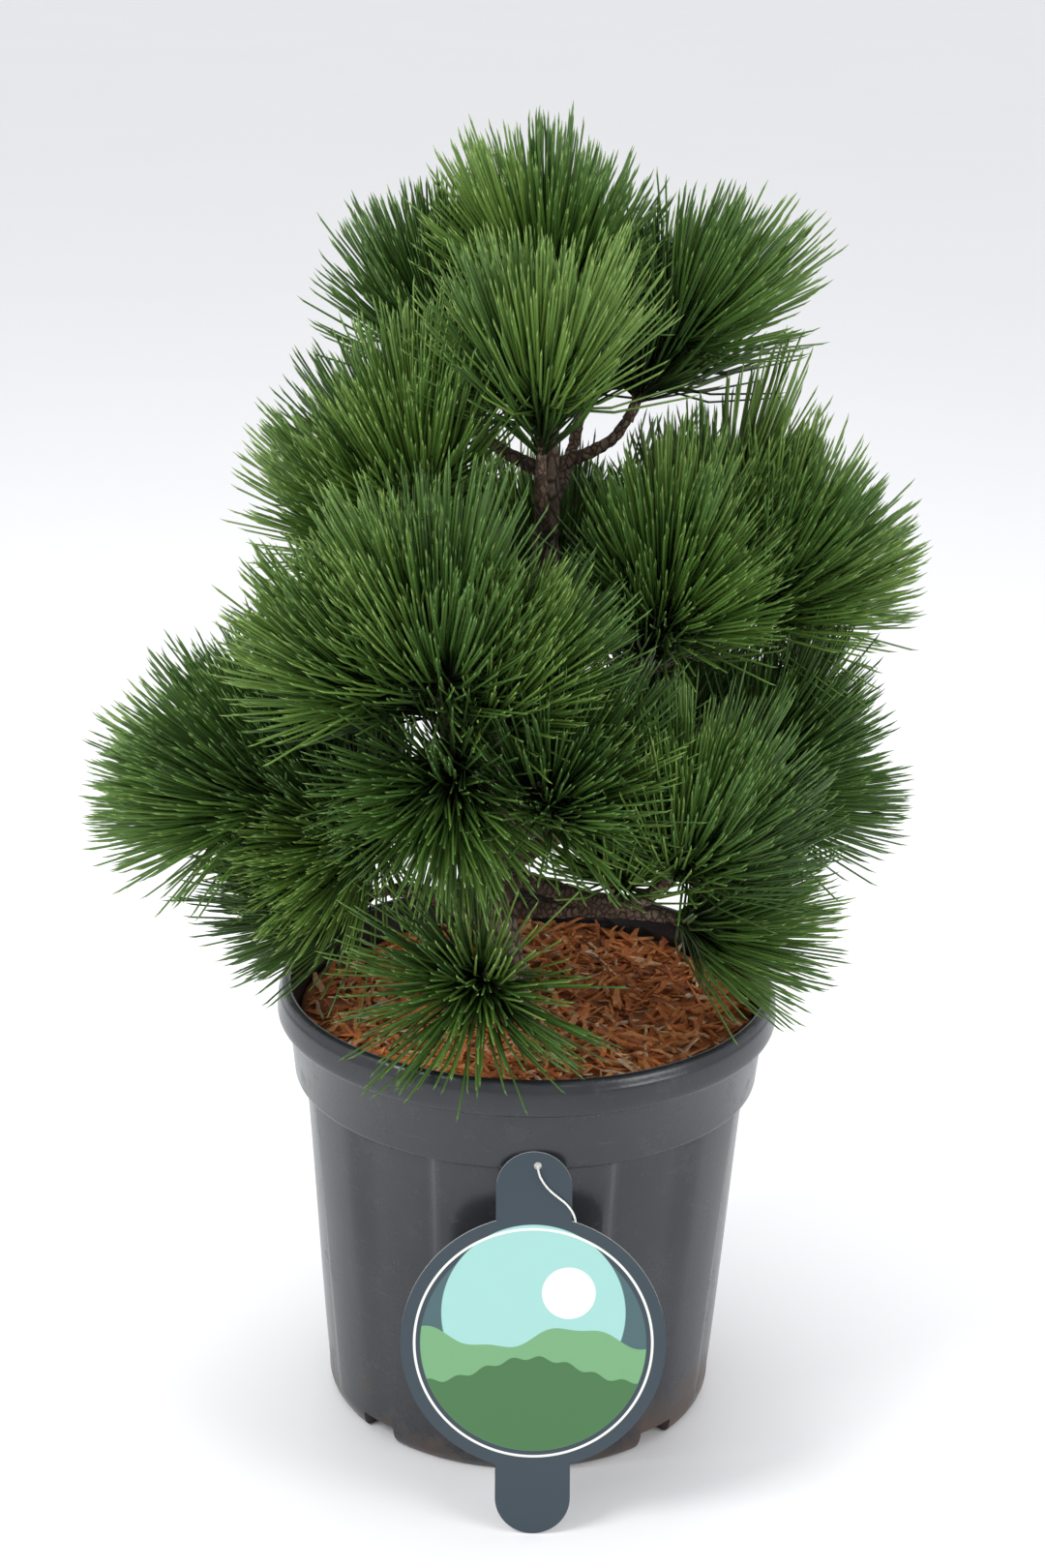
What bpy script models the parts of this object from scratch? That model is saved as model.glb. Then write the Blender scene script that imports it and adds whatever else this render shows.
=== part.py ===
# Young Bosnian pine in a plastic nursery pot, with bark mulch and a hang card leaning on the pot.
# Metres, +Z up, front towards -Y. The origin is the middle of the pot's underside.

import math
import random

import bmesh
import bpy
from mathutils import Matrix, Vector
from mathutils.geometry import intersect_point_line

GAP = 0.0003                # left between touching solids
SEAT_GAP = 0.0006           # left where a round bough is fitted to the bending trunk

# Pot, turned about Z
POT_HEIGHT = 0.270
RIM_RADIUS = 0.150          # widest, on the rolled rim
RIM_MOUTH = 0.1415          # inside edge of the rim
RIM_DROP = 0.021            # height of the rolled rim
COLLAR_BOTTOM = 0.213       # where the plain collar steps in to the fluted wall
COLLAR_RADIUS = 0.1395
WALL_TOP_RADIUS = 0.1372
WALL_FOOT_RADIUS = 0.1195
FOOT_RADIUS = 0.1124        # edge of the flat underside
CORNER = 0.014              # height of the rounded bottom corner
POT_FLOOR = 0.016           # top of the base inside
INNER_FOOT_RADIUS = 0.1095
INNER_COLLAR_RADIUS = 0.1318
FLUTE_TOP_DEPTH = 0.0038
FLUTE_FOOT_DEPTH = 0.0008
FLUTE_STATIONS = (0, 10, 21, 24, 32, 40, 50, 58, 65, 68, 79)    # degrees in each quarter
NOTCH_TURN = 45.0
NOTCH_WIDTH = 0.031
NOTCH_HEIGHT = 0.012
NOTCH_DEPTH = 0.020

# Mulch fill
MULCH_LEVEL = 0.248
MULCH_UNEVEN = 0.004

# Trunk: height, x, y and radius at each station, from the mulch to the leader
TRUNK_STATIONS = (
    (MULCH_LEVEL + GAP, -0.013, 0.000, 0.0175),
    (0.258, -0.013, 0.000, 0.0150),
    (0.268, -0.014, 0.000, 0.0165),
    (0.280, -0.016, 0.000, 0.0145),
    (0.300, -0.019, 0.001, 0.0128),
    (0.348, -0.018, 0.004, 0.0122),
    (0.413, -0.009, 0.010, 0.0108),
    (0.488, 0.002, 0.018, 0.0090),
    (0.556, 0.005, 0.025, 0.0070),
    (0.612, 0.004, 0.029, 0.0054),
    (0.640, 0.003, 0.030, 0.0046),
)
TRUNK_SIDES = 12
TRUNK_STEP = 0.030
BOUGH_SIDES = 7
BOUGH_STEPS = 5
BOUGH_RADIUS = 0.0062       # at the trunk, where the trunk is thick enough
BOUGH_SHARE = 0.66          # of the trunk's radius, where it isn't
BOUGH_TAPER = 0.68          # end radius over start radius

# Crown plan. A mass with "leaves" ends a bough of its own, which leaves the trunk at that
# fraction of its length and ends at "turn" (degrees from the front), "reach" and "height".
# A mass with "seat" sits straight on its carrier's bough at that fraction. "lean" is from
# the vertical, "heading" is round from the front, and "width" is half the spread.
CROWN = (
    dict(name="leader", carrier="trunk", lean=4, heading=-14, length=0.128, width=0.052),
    dict(name="crown_front", leaves=0.74, turn=1, reach=0.042, height=0.590,
         lean=5, heading=-17, length=0.122, width=0.046),
    dict(name="crown_right", leaves=0.84, turn=124, reach=0.060, height=0.604,
         lean=27, heading=105, length=0.131, width=0.050),
    dict(name="crown_left", leaves=0.83, turn=-142, reach=0.073, height=0.606,
         lean=19, heading=-122, length=0.114, width=0.052),
    dict(name="crown_back", leaves=0.78, turn=164, reach=0.081, height=0.590,
         lean=27, heading=159, length=0.112, width=0.048),
    dict(name="left_upper", leaves=0.60, turn=-69, reach=0.062, height=0.545,
         lean=16, heading=-69, length=0.128, width=0.056),
    dict(name="left_side", carrier="left_upper", seat=0.55,
         lean=55, heading=-88, length=0.150, width=0.050),
    dict(name="right_side", leaves=0.48, turn=95, reach=0.112, height=0.492,
         lean=53, heading=93, length=0.106, width=0.050),
    dict(name="right_back", carrier="right_side", seat=0.72,
         lean=24, heading=118, length=0.178, width=0.052),
    dict(name="right_front", carrier="right_side", seat=0.55,
         lean=38, heading=18, length=0.160, width=0.050),
    dict(name="front", leaves=0.42, turn=-27, reach=0.112, height=0.478,
         lean=18, heading=-17, length=0.107, width=0.066),
    dict(name="front_left", carrier="front", seat=0.80,
         lean=52, heading=-78, length=0.140, width=0.056),
    dict(name="front_right", carrier="front", seat=0.72,
         lean=40, heading=55, length=0.120, width=0.046),
    dict(name="front_low", carrier="front", seat=0.66,
         lean=125, heading=-14, length=0.100, width=0.050),
    dict(name="middle", leaves=0.36, turn=3, reach=0.082, height=0.412,
         lean=61, heading=26, length=0.058, width=0.042),
    dict(name="left_low", leaves=0.26, turn=-72, reach=0.139, height=0.396,
         lean=82, heading=-82, length=0.114, width=0.056),
    dict(name="left_low_top", carrier="left_low", seat=0.60,
         lean=56, heading=-98, length=0.140, width=0.050),
    dict(name="left_low_front", carrier="left_low", seat=0.62,
         lean=100, heading=-46, length=0.100, width=0.044),
    dict(name="left_bottom", leaves=0.14, turn=-72, reach=0.086, height=0.334,
         lean=104, heading=-88, length=0.117, width=0.036),
    dict(name="right_low", leaves=0.22, turn=44, reach=0.112, height=0.366,
         lean=34, heading=55, length=0.099, width=0.046),
    dict(name="right_low_front", carrier="right_low", seat=0.66,
         lean=22, heading=14, length=0.128, width=0.044),
    dict(name="right_low_side", leaves=0.29, turn=90, reach=0.108, height=0.392,
         lean=70, heading=99, length=0.093, width=0.052),
    dict(name="right_bottom", leaves=0.17, turn=60, reach=0.092, height=0.330,
         lean=99, heading=87, length=0.081, width=0.038),
    dict(name="front_bottom", leaves=0.10, turn=-17, reach=0.088, height=0.314,
         lean=99, heading=-9, length=0.067, width=0.040),
    dict(name="back", leaves=0.40, turn=-178, reach=0.100, height=0.452,
         lean=55, heading=-179, length=0.105, width=0.056),
    dict(name="back_right", carrier="back", seat=0.70,
         lean=44, heading=124, length=0.180, width=0.054),
    dict(name="back_left", carrier="back", seat=0.62,
         lean=46, heading=-124, length=0.185, width=0.056),
    dict(name="back_low_right", leaves=0.23, turn=135, reach=0.093, height=0.376,
         lean=68, heading=133, length=0.095, width=0.052),
    dict(name="back_low_left", leaves=0.20, turn=-131, reach=0.092, height=0.372,
         lean=69, heading=-124, length=0.104, width=0.054),
    dict(name="back_low", leaves=0.16, turn=-176, reach=0.080, height=0.336,
         lean=81, heading=-177, length=0.087, width=0.044),
)
MASS_MERIDIANS = 10
MASS_RINGS = (0, 26, 50, 74, 100, 128, 154, 180)    # degrees from the tip
MASS_UNEVEN = 0.10
MASS_FLOOR = POT_HEIGHT + 0.004
CROWN_SEED = 7

# Hang card: stands on the floor and leans back on the collar
CARD_THICKNESS = 0.0008
CARD_LENGTH = 0.2275
CARD_TAB = 0.0215           # half the width of the tabs, and the radius of their ends
CARD_DISC = 0.0756
CARD_DISC_HEIGHT = 0.1145   # disc centre above the card's lower end
CARD_LEAN = 10.13           # degrees back from upright
CARD_TILT = 1.0             # degrees to the left
CARD_FOOT = Vector((0.0098, -0.1816, 0.0006))
HOLE_SIDE = 0.0020
HOLE_HEIGHT = 0.2193
HOLE_RADIUS = 0.0022

# String through the card's hole: sideways, up the card and out from its front face
STRING_RADIUS = 0.0006
STRING_POINTS = 44
STRING_ROUTE = (
    (0.0020, 0.2193, -0.0004), (0.0020, 0.2192, 0.0006), (0.0021, 0.2186, 0.0019),
    (0.0024, 0.2168, 0.0028), (0.0030, 0.2145, 0.0026), (0.0044, 0.2115, 0.0019),
    (0.0068, 0.2078, 0.0015), (0.0100, 0.2044, 0.0015), (0.0138, 0.2013, 0.0016),
    (0.0174, 0.1984, 0.0017), (0.0203, 0.1950, 0.0015), (0.0222, 0.1915, 0.0006),
    (0.0232, 0.1882, -0.0008), (0.0236, 0.1850, -0.0020), (0.0238, 0.1812, -0.0027),
    (0.0239, 0.1750, -0.0028), (0.0240, 0.1650, -0.0028), (0.0240, 0.1500, -0.0028),
    (0.0241, 0.1350, -0.0028), (0.0242, 0.1200, -0.0028),
)
KNOT_RADIUS = 0.0017
STOP_RADIUS = 0.0029
STOP_HALF_THICKNESS = 0.0008

BARK = (0.20, 0.13, 0.09)
TWIG_BARK = (0.16, 0.085, 0.05)
NEEDLE = (0.075, 0.17, 0.035)
POT_PLASTIC = (0.045, 0.047, 0.055)
MULCH = (0.42, 0.14, 0.045)
CARD = (0.045, 0.09, 0.11)
STRING = (0.82, 0.82, 0.78)


def clearScene():
    for item in list(bpy.data.objects):
        bpy.data.objects.remove(item, do_unlink=True)


def material(name, colour, roughness, metallic=0.0):
    found = bpy.data.materials.get(name)
    if found:
        return found
    made = bpy.data.materials.new(name)
    made.use_nodes = True
    shader = made.node_tree.nodes["Principled BSDF"]
    shader.inputs["Base Color"].default_value = (*colour, 1.0)
    shader.inputs["Roughness"].default_value = roughness
    shader.inputs["Metallic"].default_value = metallic
    made.diffuse_color = (*colour, 1.0)
    return made


def addMesh(name, points, faces, finish, smooth=True):
    mesh = bpy.data.meshes.new(name)
    mesh.from_pydata([tuple(point) for point in points], [], faces)
    mesh.validate()
    mesh.materials.append(finish)
    made = bpy.data.objects.new(name, mesh)
    bpy.context.scene.collection.objects.link(made)
    shape = bmesh.new()
    shape.from_mesh(mesh)
    bmesh.ops.recalc_face_normals(shape, faces=shape.faces)
    shape.to_mesh(mesh)
    shape.free()
    mesh.polygons.foreach_set("use_smooth", [smooth] * len(mesh.polygons))
    return made


def polar(turn, reach, height):
    angle = math.radians(turn)
    return Vector((reach * math.sin(angle), -reach * math.cos(angle), height))


def heading(lean, turn):
    tilt = math.radians(lean)
    return polar(turn, math.sin(tilt), math.cos(tilt))


def ringFaces(rings, sides):
    faces = []
    for ring in range(rings - 1):
        for side in range(sides):
            following = (side + 1) % sides
            faces.append((ring * sides + side, ring * sides + following,
                          (ring + 1) * sides + following, (ring + 1) * sides + side))
    return faces


# Pot and mulch

def smoothstep(low, high, value):
    part = min(1.0, max(0.0, (value - low) / (high - low)))
    return part * part * (3.0 - 2.0 * part)


def fluteDepth(degrees, height):
    """How far the outer wall lies inside its plain cone, at an angle and a height."""
    folded = abs((degrees + 180.0) % 360.0 - 180.0)
    folded = min(folded, 180.0 - folded)
    first = smoothstep(21.5, 23.5, folded) * (1.0 - smoothstep(40.0, 50.0, folded))
    second = smoothstep(65.5, 67.5, folded)
    rise = smoothstep(CORNER, COLLAR_BOTTOM, height)
    fade = smoothstep(0.004, CORNER, height)
    return (first + second) * fade * (FLUTE_FOOT_DEPTH + rise * (FLUTE_TOP_DEPTH - FLUTE_FOOT_DEPTH))


def wallRadius(height):
    part = (height - CORNER) / (COLLAR_BOTTOM - CORNER)
    return WALL_FOOT_RADIUS + part * (WALL_TOP_RADIUS - WALL_FOOT_RADIUS)


def potOutline():
    """Radius, height and whether the flutes act there, up the outside and down the inside."""
    outline = []
    bulge = WALL_FOOT_RADIUS - FOOT_RADIUS
    for step in range(4):
        angle = math.radians(30.0 * step)
        outline.append((FOOT_RADIUS + bulge * math.sin(angle),
                        CORNER * (1.0 - math.cos(angle)), step > 1))
    for height in (0.080, 0.150, COLLAR_BOTTOM - 0.002):
        outline.append((wallRadius(height), height, True))
    rimBottom = POT_HEIGHT - RIM_DROP
    outline.append((COLLAR_RADIUS, COLLAR_BOTTOM, False))
    outline.append((COLLAR_RADIUS + 0.0035, rimBottom - 0.001, False))
    outline.append((RIM_RADIUS - 0.0025, rimBottom, False))
    outline.append((RIM_RADIUS, rimBottom + 0.0045, False))
    outline.append((RIM_RADIUS - 0.0010, POT_HEIGHT - 0.0060, False))
    outline.append((RIM_RADIUS - 0.0038, POT_HEIGHT - 0.0008, False))
    outline.append((RIM_MOUTH + 0.0022, POT_HEIGHT, False))
    outline.append((RIM_MOUTH, POT_HEIGHT - 0.0030, False))
    outline.append((INNER_COLLAR_RADIUS + 0.0055, rimBottom, False))
    outline.append((INNER_COLLAR_RADIUS, COLLAR_BOTTOM, False))
    outline.append((INNER_FOOT_RADIUS, POT_FLOOR, False))
    return outline


def notchCutter(turn):
    corner = NOTCH_WIDTH / 2
    points, faces = [], []
    for outward in (FOOT_RADIUS - NOTCH_DEPTH, FOOT_RADIUS + 0.02):
        points += [(-corner, -outward, -0.01), (corner, -outward, -0.01),
                   (corner * 0.8, -outward, NOTCH_HEIGHT), (-corner * 0.8, -outward, NOTCH_HEIGHT)]
    faces = [(0, 1, 2, 3), (4, 5, 6, 7)] + ringFaces(2, 4)
    cutter = addMesh("notch_cutter", points, faces, material("pot_plastic", POT_PLASTIC, 0.35))
    cutter.rotation_euler = (0.0, 0.0, math.radians(turn))
    cutter.hide_render = True
    cutter.display_type = "WIRE"
    return cutter


def cut(target, cutters):
    for cutter in cutters:
        modifier = target.modifiers.new("cut", "BOOLEAN")
        modifier.operation = "DIFFERENCE"
        modifier.solver = "EXACT"
        modifier.object = cutter
    bpy.context.view_layer.update()
    cutMesh = bpy.data.meshes.new_from_object(
        target.evaluated_get(bpy.context.evaluated_depsgraph_get()))
    target.modifiers.clear()
    target.data = cutMesh
    for cutter in cutters:
        bpy.data.objects.remove(cutter, do_unlink=True)


def makePot():
    turns = [quarter * 90.0 + (station if quarter % 2 == 0 else 90.0 - station)
             for quarter in range(4) for station in FLUTE_STATIONS + ((90,) if quarter % 2 == 0 else ())]
    turns = sorted(set(turn % 360.0 for turn in turns))
    sides = len(turns)
    outline = potOutline()
    points = []
    for radius, height, fluted in outline:
        for turn in turns:
            inset = fluteDepth(turn, height) if fluted else 0.0
            points.append(polar(turn, radius - inset, height))
    faces = ringFaces(len(outline), sides)
    faces.append(tuple(range(sides)))
    faces.append(tuple(range((len(outline) - 1) * sides, len(outline) * sides)))
    pot = addMesh("pot", points, faces, material("pot_plastic", POT_PLASTIC, 0.35))
    cut(pot, [notchCutter(NOTCH_TURN + 90.0 * number) for number in range(4)])
    return pot


def makeMulch():
    """The fill, with an uneven top that stays flat round the trunk."""
    sides = 28
    rise = (INNER_COLLAR_RADIUS + 0.0055 - INNER_COLLAR_RADIUS) / (POT_HEIGHT - RIM_DROP - COLLAR_BOTTOM)
    edge = INNER_COLLAR_RADIUS + rise * (MULCH_LEVEL - COLLAR_BOTTOM)
    levels = [(INNER_FOOT_RADIUS, POT_FLOOR + GAP, 0.0), (INNER_COLLAR_RADIUS, COLLAR_BOTTOM, 0.0),
              (edge, MULCH_LEVEL, 0.0), (0.105, MULCH_LEVEL, 1.0), (0.062, MULCH_LEVEL, 0.7),
              (0.030, MULCH_LEVEL, 0.0)]
    points = []
    for radius, height, uneven in levels:
        for side in range(sides):
            turn = 360.0 * side / sides
            angle = math.radians(turn)
            lift = uneven * MULCH_UNEVEN * (math.sin(3 * angle + 40 * radius)
                                            + 0.6 * math.sin(7 * angle + 90 * radius))
            points.append(polar(turn, radius - 3 * GAP, height + lift))
    faces = ringFaces(len(levels), sides)
    faces.append(tuple(range(sides)))
    faces.append(tuple(range((len(levels) - 1) * sides, len(levels) * sides)))
    return addMesh("mulch", points, faces, material("mulch", MULCH, 0.9))


# Trunk and boughs

def catmull(before, start, end, after, part):
    return 0.5 * (2 * start + (end - before) * part
                  + (2 * before - 5 * start + 4 * end - after) * part ** 2
                  + (3 * start - before - 3 * end + after) * part ** 3)


def trunkRoute():
    """Centre points and radii up the trunk, evenly enough spaced to bend smoothly."""
    centres = [Vector((x, y, height)) for height, x, y, radius in TRUNK_STATIONS]
    radii = [station[3] for station in TRUNK_STATIONS]
    points, sizes = [centres[0]], [radii[0]]
    for index in range(len(centres) - 1):
        before = centres[max(0, index - 1)]
        after = centres[min(len(centres) - 1, index + 2)]
        span = (centres[index + 1] - centres[index]).length
        steps = max(1, round(span / TRUNK_STEP))
        for step in range(1, steps + 1):
            part = step / steps
            points.append(catmull(before, centres[index], centres[index + 1], after, part))
            sizes.append(radii[index] + (radii[index + 1] - radii[index]) * part)
    return points, sizes


def frames(points):
    """A tangent and two side directions at each point, turning as little as possible."""
    tangents = []
    for index in range(len(points)):
        ahead = points[min(len(points) - 1, index + 1)]
        behind = points[max(0, index - 1)]
        tangents.append((ahead - behind).normalized())
    side = tangents[0].orthogonal().normalized()
    result = []
    for tangent in tangents:
        side = (side - tangent * side.dot(tangent)).normalized()
        result.append((tangent, side, tangent.cross(side)))
    return result


def ringAround(centre, side, other, radius, sides):
    return [centre + side * (radius * math.cos(2 * math.pi * step / sides))
            + other * (radius * math.sin(2 * math.pi * step / sides)) for step in range(sides)]


def makeTrunk(points, radii):
    rings = []
    for centre, (tangent, side, other), radius in zip(points, frames(points), radii):
        if centre is points[0]:
            side, other = Vector((1.0, 0.0, 0.0)), Vector((0.0, 1.0, 0.0))
        rings += ringAround(centre, side, other, radius, TRUNK_SIDES)
    count = len(points)
    faces = ringFaces(count, TRUNK_SIDES)
    faces.append(tuple(range(TRUNK_SIDES)))
    faces.append(tuple(range((count - 1) * TRUNK_SIDES, count * TRUNK_SIDES)))
    addMesh("trunk", rings, faces, material("bark", BARK, 0.9))
    return [rings[row * TRUNK_SIDES:(row + 1) * TRUNK_SIDES] for row in range(count)]


def alongRoute(points, fraction):
    """The place, direction and index, with its decimals, at a fraction of a route's length."""
    spans = [(points[index + 1] - points[index]).length for index in range(len(points) - 1)]
    left = fraction * sum(spans)
    for index, span in enumerate(spans):
        if left <= span or index == len(spans) - 1:
            direction = (points[index + 1] - points[index]).normalized()
            return points[index] + direction * left, direction, index + left / span
        left -= span


def boughRoute(start, end, endDirection):
    chord = end - start
    outward = Vector((chord.x, chord.y, 0.55 * chord.z)).normalized()
    second = start + outward * (0.36 * chord.length)
    third = end - endDirection * (0.34 * chord.length)
    points = []
    for step in range(BOUGH_STEPS + 1):
        part = step / BOUGH_STEPS
        points.append(start * (1 - part) ** 3 + second * (3 * part * (1 - part) ** 2)
                      + third * (3 * part ** 2 * (1 - part)) + end * part ** 3)
    return points


def backToSurface(point, direction, axisPoint, axisDirection, radius):
    """Slides a point back against direction until it is radius from the axis line."""
    offset = point - axisPoint
    offset -= axisDirection * offset.dot(axisDirection)
    travel = -direction + axisDirection * direction.dot(axisDirection)
    a = travel.dot(travel)
    b = 2 * offset.dot(travel)
    c = offset.dot(offset) - radius * radius
    root = math.sqrt(max(0.0, b * b - 4 * a * c))
    return point - direction * ((-b - root) / (2 * a))


def makeBough(name, points, trunkPoint, trunkDirection, trunkRadius):
    """A tapering limb whose first ring is fitted to the side of the trunk."""
    thick = min(BOUGH_RADIUS, BOUGH_SHARE * trunkRadius)
    first = 0
    while True:
        away = points[first] - trunkPoint
        away -= trunkDirection * away.dot(trunkDirection)
        if away.length > trunkRadius + thick:
            break
        first += 1
    route = points[first:]
    lead = (points[first] - points[max(0, first - 1)]).normalized()
    sectionFrames = frames(route)
    rings = []
    side = sectionFrames[0][1]
    side = (side - lead * side.dot(lead)).normalized()
    other = lead.cross(side)
    seat = trunkRadius + SEAT_GAP
    opening = ringAround(route[0], side, other, thick, BOUGH_SIDES)
    rings += [backToSurface(point, lead, trunkPoint, trunkDirection, seat) for point in opening]
    for index, centre in enumerate(route):
        tangent, side, other = sectionFrames[index]
        part = index / (len(route) - 1)
        radius = thick * (1.0 + (BOUGH_TAPER - 1.0) * part)
        rings += ringAround(centre, side, other, radius, BOUGH_SIDES)
    rows = len(route) + 1
    middle = backToSurface(route[0], lead, trunkPoint, trunkDirection, seat + GAP)
    rings.append(middle)
    last = len(rings) - 1
    faces = ringFaces(rows, BOUGH_SIDES)
    faces += [(last, (step + 1) % BOUGH_SIDES, step) for step in range(BOUGH_SIDES)]
    faces.append(tuple(range((rows - 1) * BOUGH_SIDES, rows * BOUGH_SIDES)))
    addMesh("bough_" + name, rings, faces, material("twig_bark", TWIG_BARK, 0.9))
    rows = [rings[row * BOUGH_SIDES:(row + 1) * BOUGH_SIDES] for row in range(rows)]
    return route, [rows[0] + [middle] + rows[1]] + rows[2:]


# Needle masses

def nearestPair(a0, a1, b0, b1):
    """Nearest points of two straight stretches, found by alternating projection."""
    pointB = (b0 + b1) / 2
    for _ in range(60):
        pointA, partA = intersect_point_line(pointB, a0, a1)
        pointA = a0 + (a1 - a0) * min(1.0, max(0.0, partA))
        pointB, partB = intersect_point_line(pointA, b0, b1)
        pointB = b0 + (b1 - b0) * min(1.0, max(0.0, partB))
    return pointA, pointB


def massWalls(mass, masses, limbs):
    """Planes, as an outward normal and how far along it, that keep a mass clear of the rest."""
    walls = [(Vector((0.0, 0.0, -1.0)), -MASS_FLOOR)]
    for other in masses:
        if other is mass:
            continue
        own, theirs = nearestPair(mass["foot"], mass["tip"], other["foot"], other["tip"])
        across = theirs - own
        share = mass["width"] / (mass["width"] + other["width"])
        normal = across.normalized()
        walls.append((normal, normal.dot(own + across * share) - GAP))
    for limb in limbs:
        route = limb["points"]
        for index in range(len(route) - 1):
            if limb["end"] == mass["name"] and index == len(route) - 2:
                normal = (route[-2] - route[-1]).normalized()
            else:
                own, theirs = nearestPair(mass["foot"], mass["tip"], route[index], route[index + 1])
                normal = (theirs - own).normalized()
            nearest = min(normal.dot(corner) for corner in limb["rings"][index] + limb["rings"][index + 1])
            walls.append((normal, nearest - GAP))
    return walls


def makeMass(mass, masses, limbs, chance):
    """An uneven closed solid, narrow at its foot and broad at its tip, cut off at its walls."""
    axis = (mass["tip"] - mass["foot"]).normalized()
    length = (mass["tip"] - mass["foot"]).length
    centre = mass["foot"] + axis * (0.56 * length)
    side = axis.orthogonal().normalized()
    other = axis.cross(side)
    walls = massWalls(mass, masses, limbs)
    lumps = [(chance.uniform(0, 6.28), chance.uniform(0, 6.28)) for _ in range(3)]

    def reach(polarAngle, turn):
        along, across = math.cos(polarAngle), math.sin(polarAngle)
        half = 0.44 * length if along > 0 else 0.60 * length
        spread = mass["width"] * (1.06 if along > 0 else 1.06 + 0.42 * along)
        size = (abs(along / half) ** 2.5 + abs(across / spread) ** 2.5) ** (-1 / 2.5)
        uneven = sum(math.sin((count + 2) * turn + first) * math.sin((count + 1.5) * polarAngle + second)
                     for count, (first, second) in enumerate(lumps))
        size *= 1.0 + MASS_UNEVEN * uneven / 1.8 * across
        direction = axis * along + (side * math.cos(turn) + other * math.sin(turn)) * across
        for normal, offset in walls:
            facing = direction.dot(normal)
            if facing > 1e-6:
                size = min(size, (offset - normal.dot(centre)) / facing)
        return centre + direction * size

    points = [reach(0.0, 0.0)]
    for ringAngle in MASS_RINGS[1:-1]:
        for step in range(MASS_MERIDIANS):
            points.append(reach(math.radians(ringAngle), 2 * math.pi * step / MASS_MERIDIANS))
    points.append(reach(math.pi, 0.0))
    rings = len(MASS_RINGS) - 2
    faces = [tuple(corner + 1 for corner in face) for face in ringFaces(rings, MASS_MERIDIANS)]
    faces = [(a, b, c) for a, b, c, d in faces] + [(a, c, d) for a, b, c, d in faces]
    end = len(points) - 1
    start = end - MASS_MERIDIANS
    for step in range(MASS_MERIDIANS):
        following = (step + 1) % MASS_MERIDIANS
        faces.append((0, 1 + following, 1 + step))
        faces.append((end, start + step, start + following))
    return addMesh("needles_" + mass["name"], points, faces, material("needles", NEEDLE, 0.6))


def makeCrown(trunkPoints, trunkRadii, trunkRings):
    limbs = [dict(end="leader", points=trunkPoints, rings=trunkRings)]
    routes = {}
    masses = []
    for plan in CROWN:
        mass = dict(plan)
        direction = heading(plan["lean"], plan["heading"])
        if "leaves" in plan:
            foot = polar(plan["turn"], plan["reach"], plan["height"])
            start, up, place = alongRoute(trunkPoints, plan["leaves"])
            below, part = int(place), place % 1.0
            thickness = trunkRadii[below] * (1 - part) + trunkRadii[below + 1] * part
            points = boughRoute(start, foot, direction)
            points, rings = makeBough(plan["name"], points, start, up, thickness)
            limbs.append(dict(end=plan["name"], points=points, rings=rings))
            routes[plan["name"]] = points
            mass["foot"] = foot + direction * 0.002
        elif "seat" in plan:
            seat, along, place = alongRoute(routes[plan["carrier"]], plan["seat"])
            slant = max(0.5, direction.cross(along).length)
            mass["foot"] = seat + direction * ((BOUGH_RADIUS + 0.002) / slant)
            foot = seat
        else:
            foot = trunkPoints[-1]
            mass["foot"] = foot + direction * 0.002
        mass["tip"] = foot + direction * plan["length"]
        masses.append(mass)
    chance = random.Random(CROWN_SEED)
    for mass in masses:
        makeMass(mass, masses, limbs, chance)


# Hang card and its string

def cardFrame():
    lean = Matrix.Rotation(math.radians(-CARD_LEAN), 4, "X")
    tilt = Matrix.Rotation(math.radians(-CARD_TILT), 4, "Y")
    return Matrix.Translation(CARD_FOOT) @ lean @ tilt


def onCard(side, up, out):
    return cardFrame() @ Vector((side, -out, up))


def arc(centre, radius, first, last, steps):
    for step in range(steps + 1):
        angle = math.radians(first + (last - first) * step / steps)
        yield (radius * math.sin(angle), centre + radius * math.cos(angle))


def makeCard():
    notch = math.degrees(math.asin(CARD_TAB / CARD_DISC))
    outline = list(arc(CARD_LENGTH - CARD_TAB, CARD_TAB, -90, 90, 12))
    outline += list(arc(CARD_DISC_HEIGHT, CARD_DISC, notch, 180 - notch, 18))
    outline += list(arc(CARD_TAB, CARD_TAB, 90, 270, 12))
    outline += list(arc(CARD_DISC_HEIGHT, CARD_DISC, 180 + notch, 360 - notch, 18))
    count = len(outline)
    points = [onCard(x, z, 0.0) for x, z in outline]
    points += [onCard(x, z, -CARD_THICKNESS) for x, z in outline]
    faces = [tuple(range(count)), tuple(range(count, 2 * count))] + ringFaces(2, count)
    finish = material("card", CARD, 0.35)
    card = addMesh("hang_card", points, faces, finish, smooth=False)
    hole = [onCard(HOLE_SIDE + HOLE_RADIUS * math.cos(step * math.pi / 8),
                   HOLE_HEIGHT + HOLE_RADIUS * math.sin(step * math.pi / 8), out)
            for out in (0.01, -0.01) for step in range(16)]
    cutter = addMesh("hole_cutter", hole, [tuple(range(16)), tuple(range(16, 32))] + ringFaces(2, 16),
                     finish)
    cutter.hide_render = True
    cutter.display_type = "WIRE"
    cut(card, [cutter])
    return card


def stringRoute():
    """Evenly spread points on a smooth curve through the string's own points."""
    knots = [onCard(*point) for point in STRING_ROUTE]
    dense = []
    for index in range(len(knots) - 1):
        before = knots[max(0, index - 1)]
        after = knots[min(len(knots) - 1, index + 2)]
        dense += [catmull(before, knots[index], knots[index + 1], after, step / 12) for step in range(12)]
    dense.append(knots[-1])
    return [alongRoute(dense, step / (STRING_POINTS - 1))[0] for step in range(STRING_POINTS)]


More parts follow.
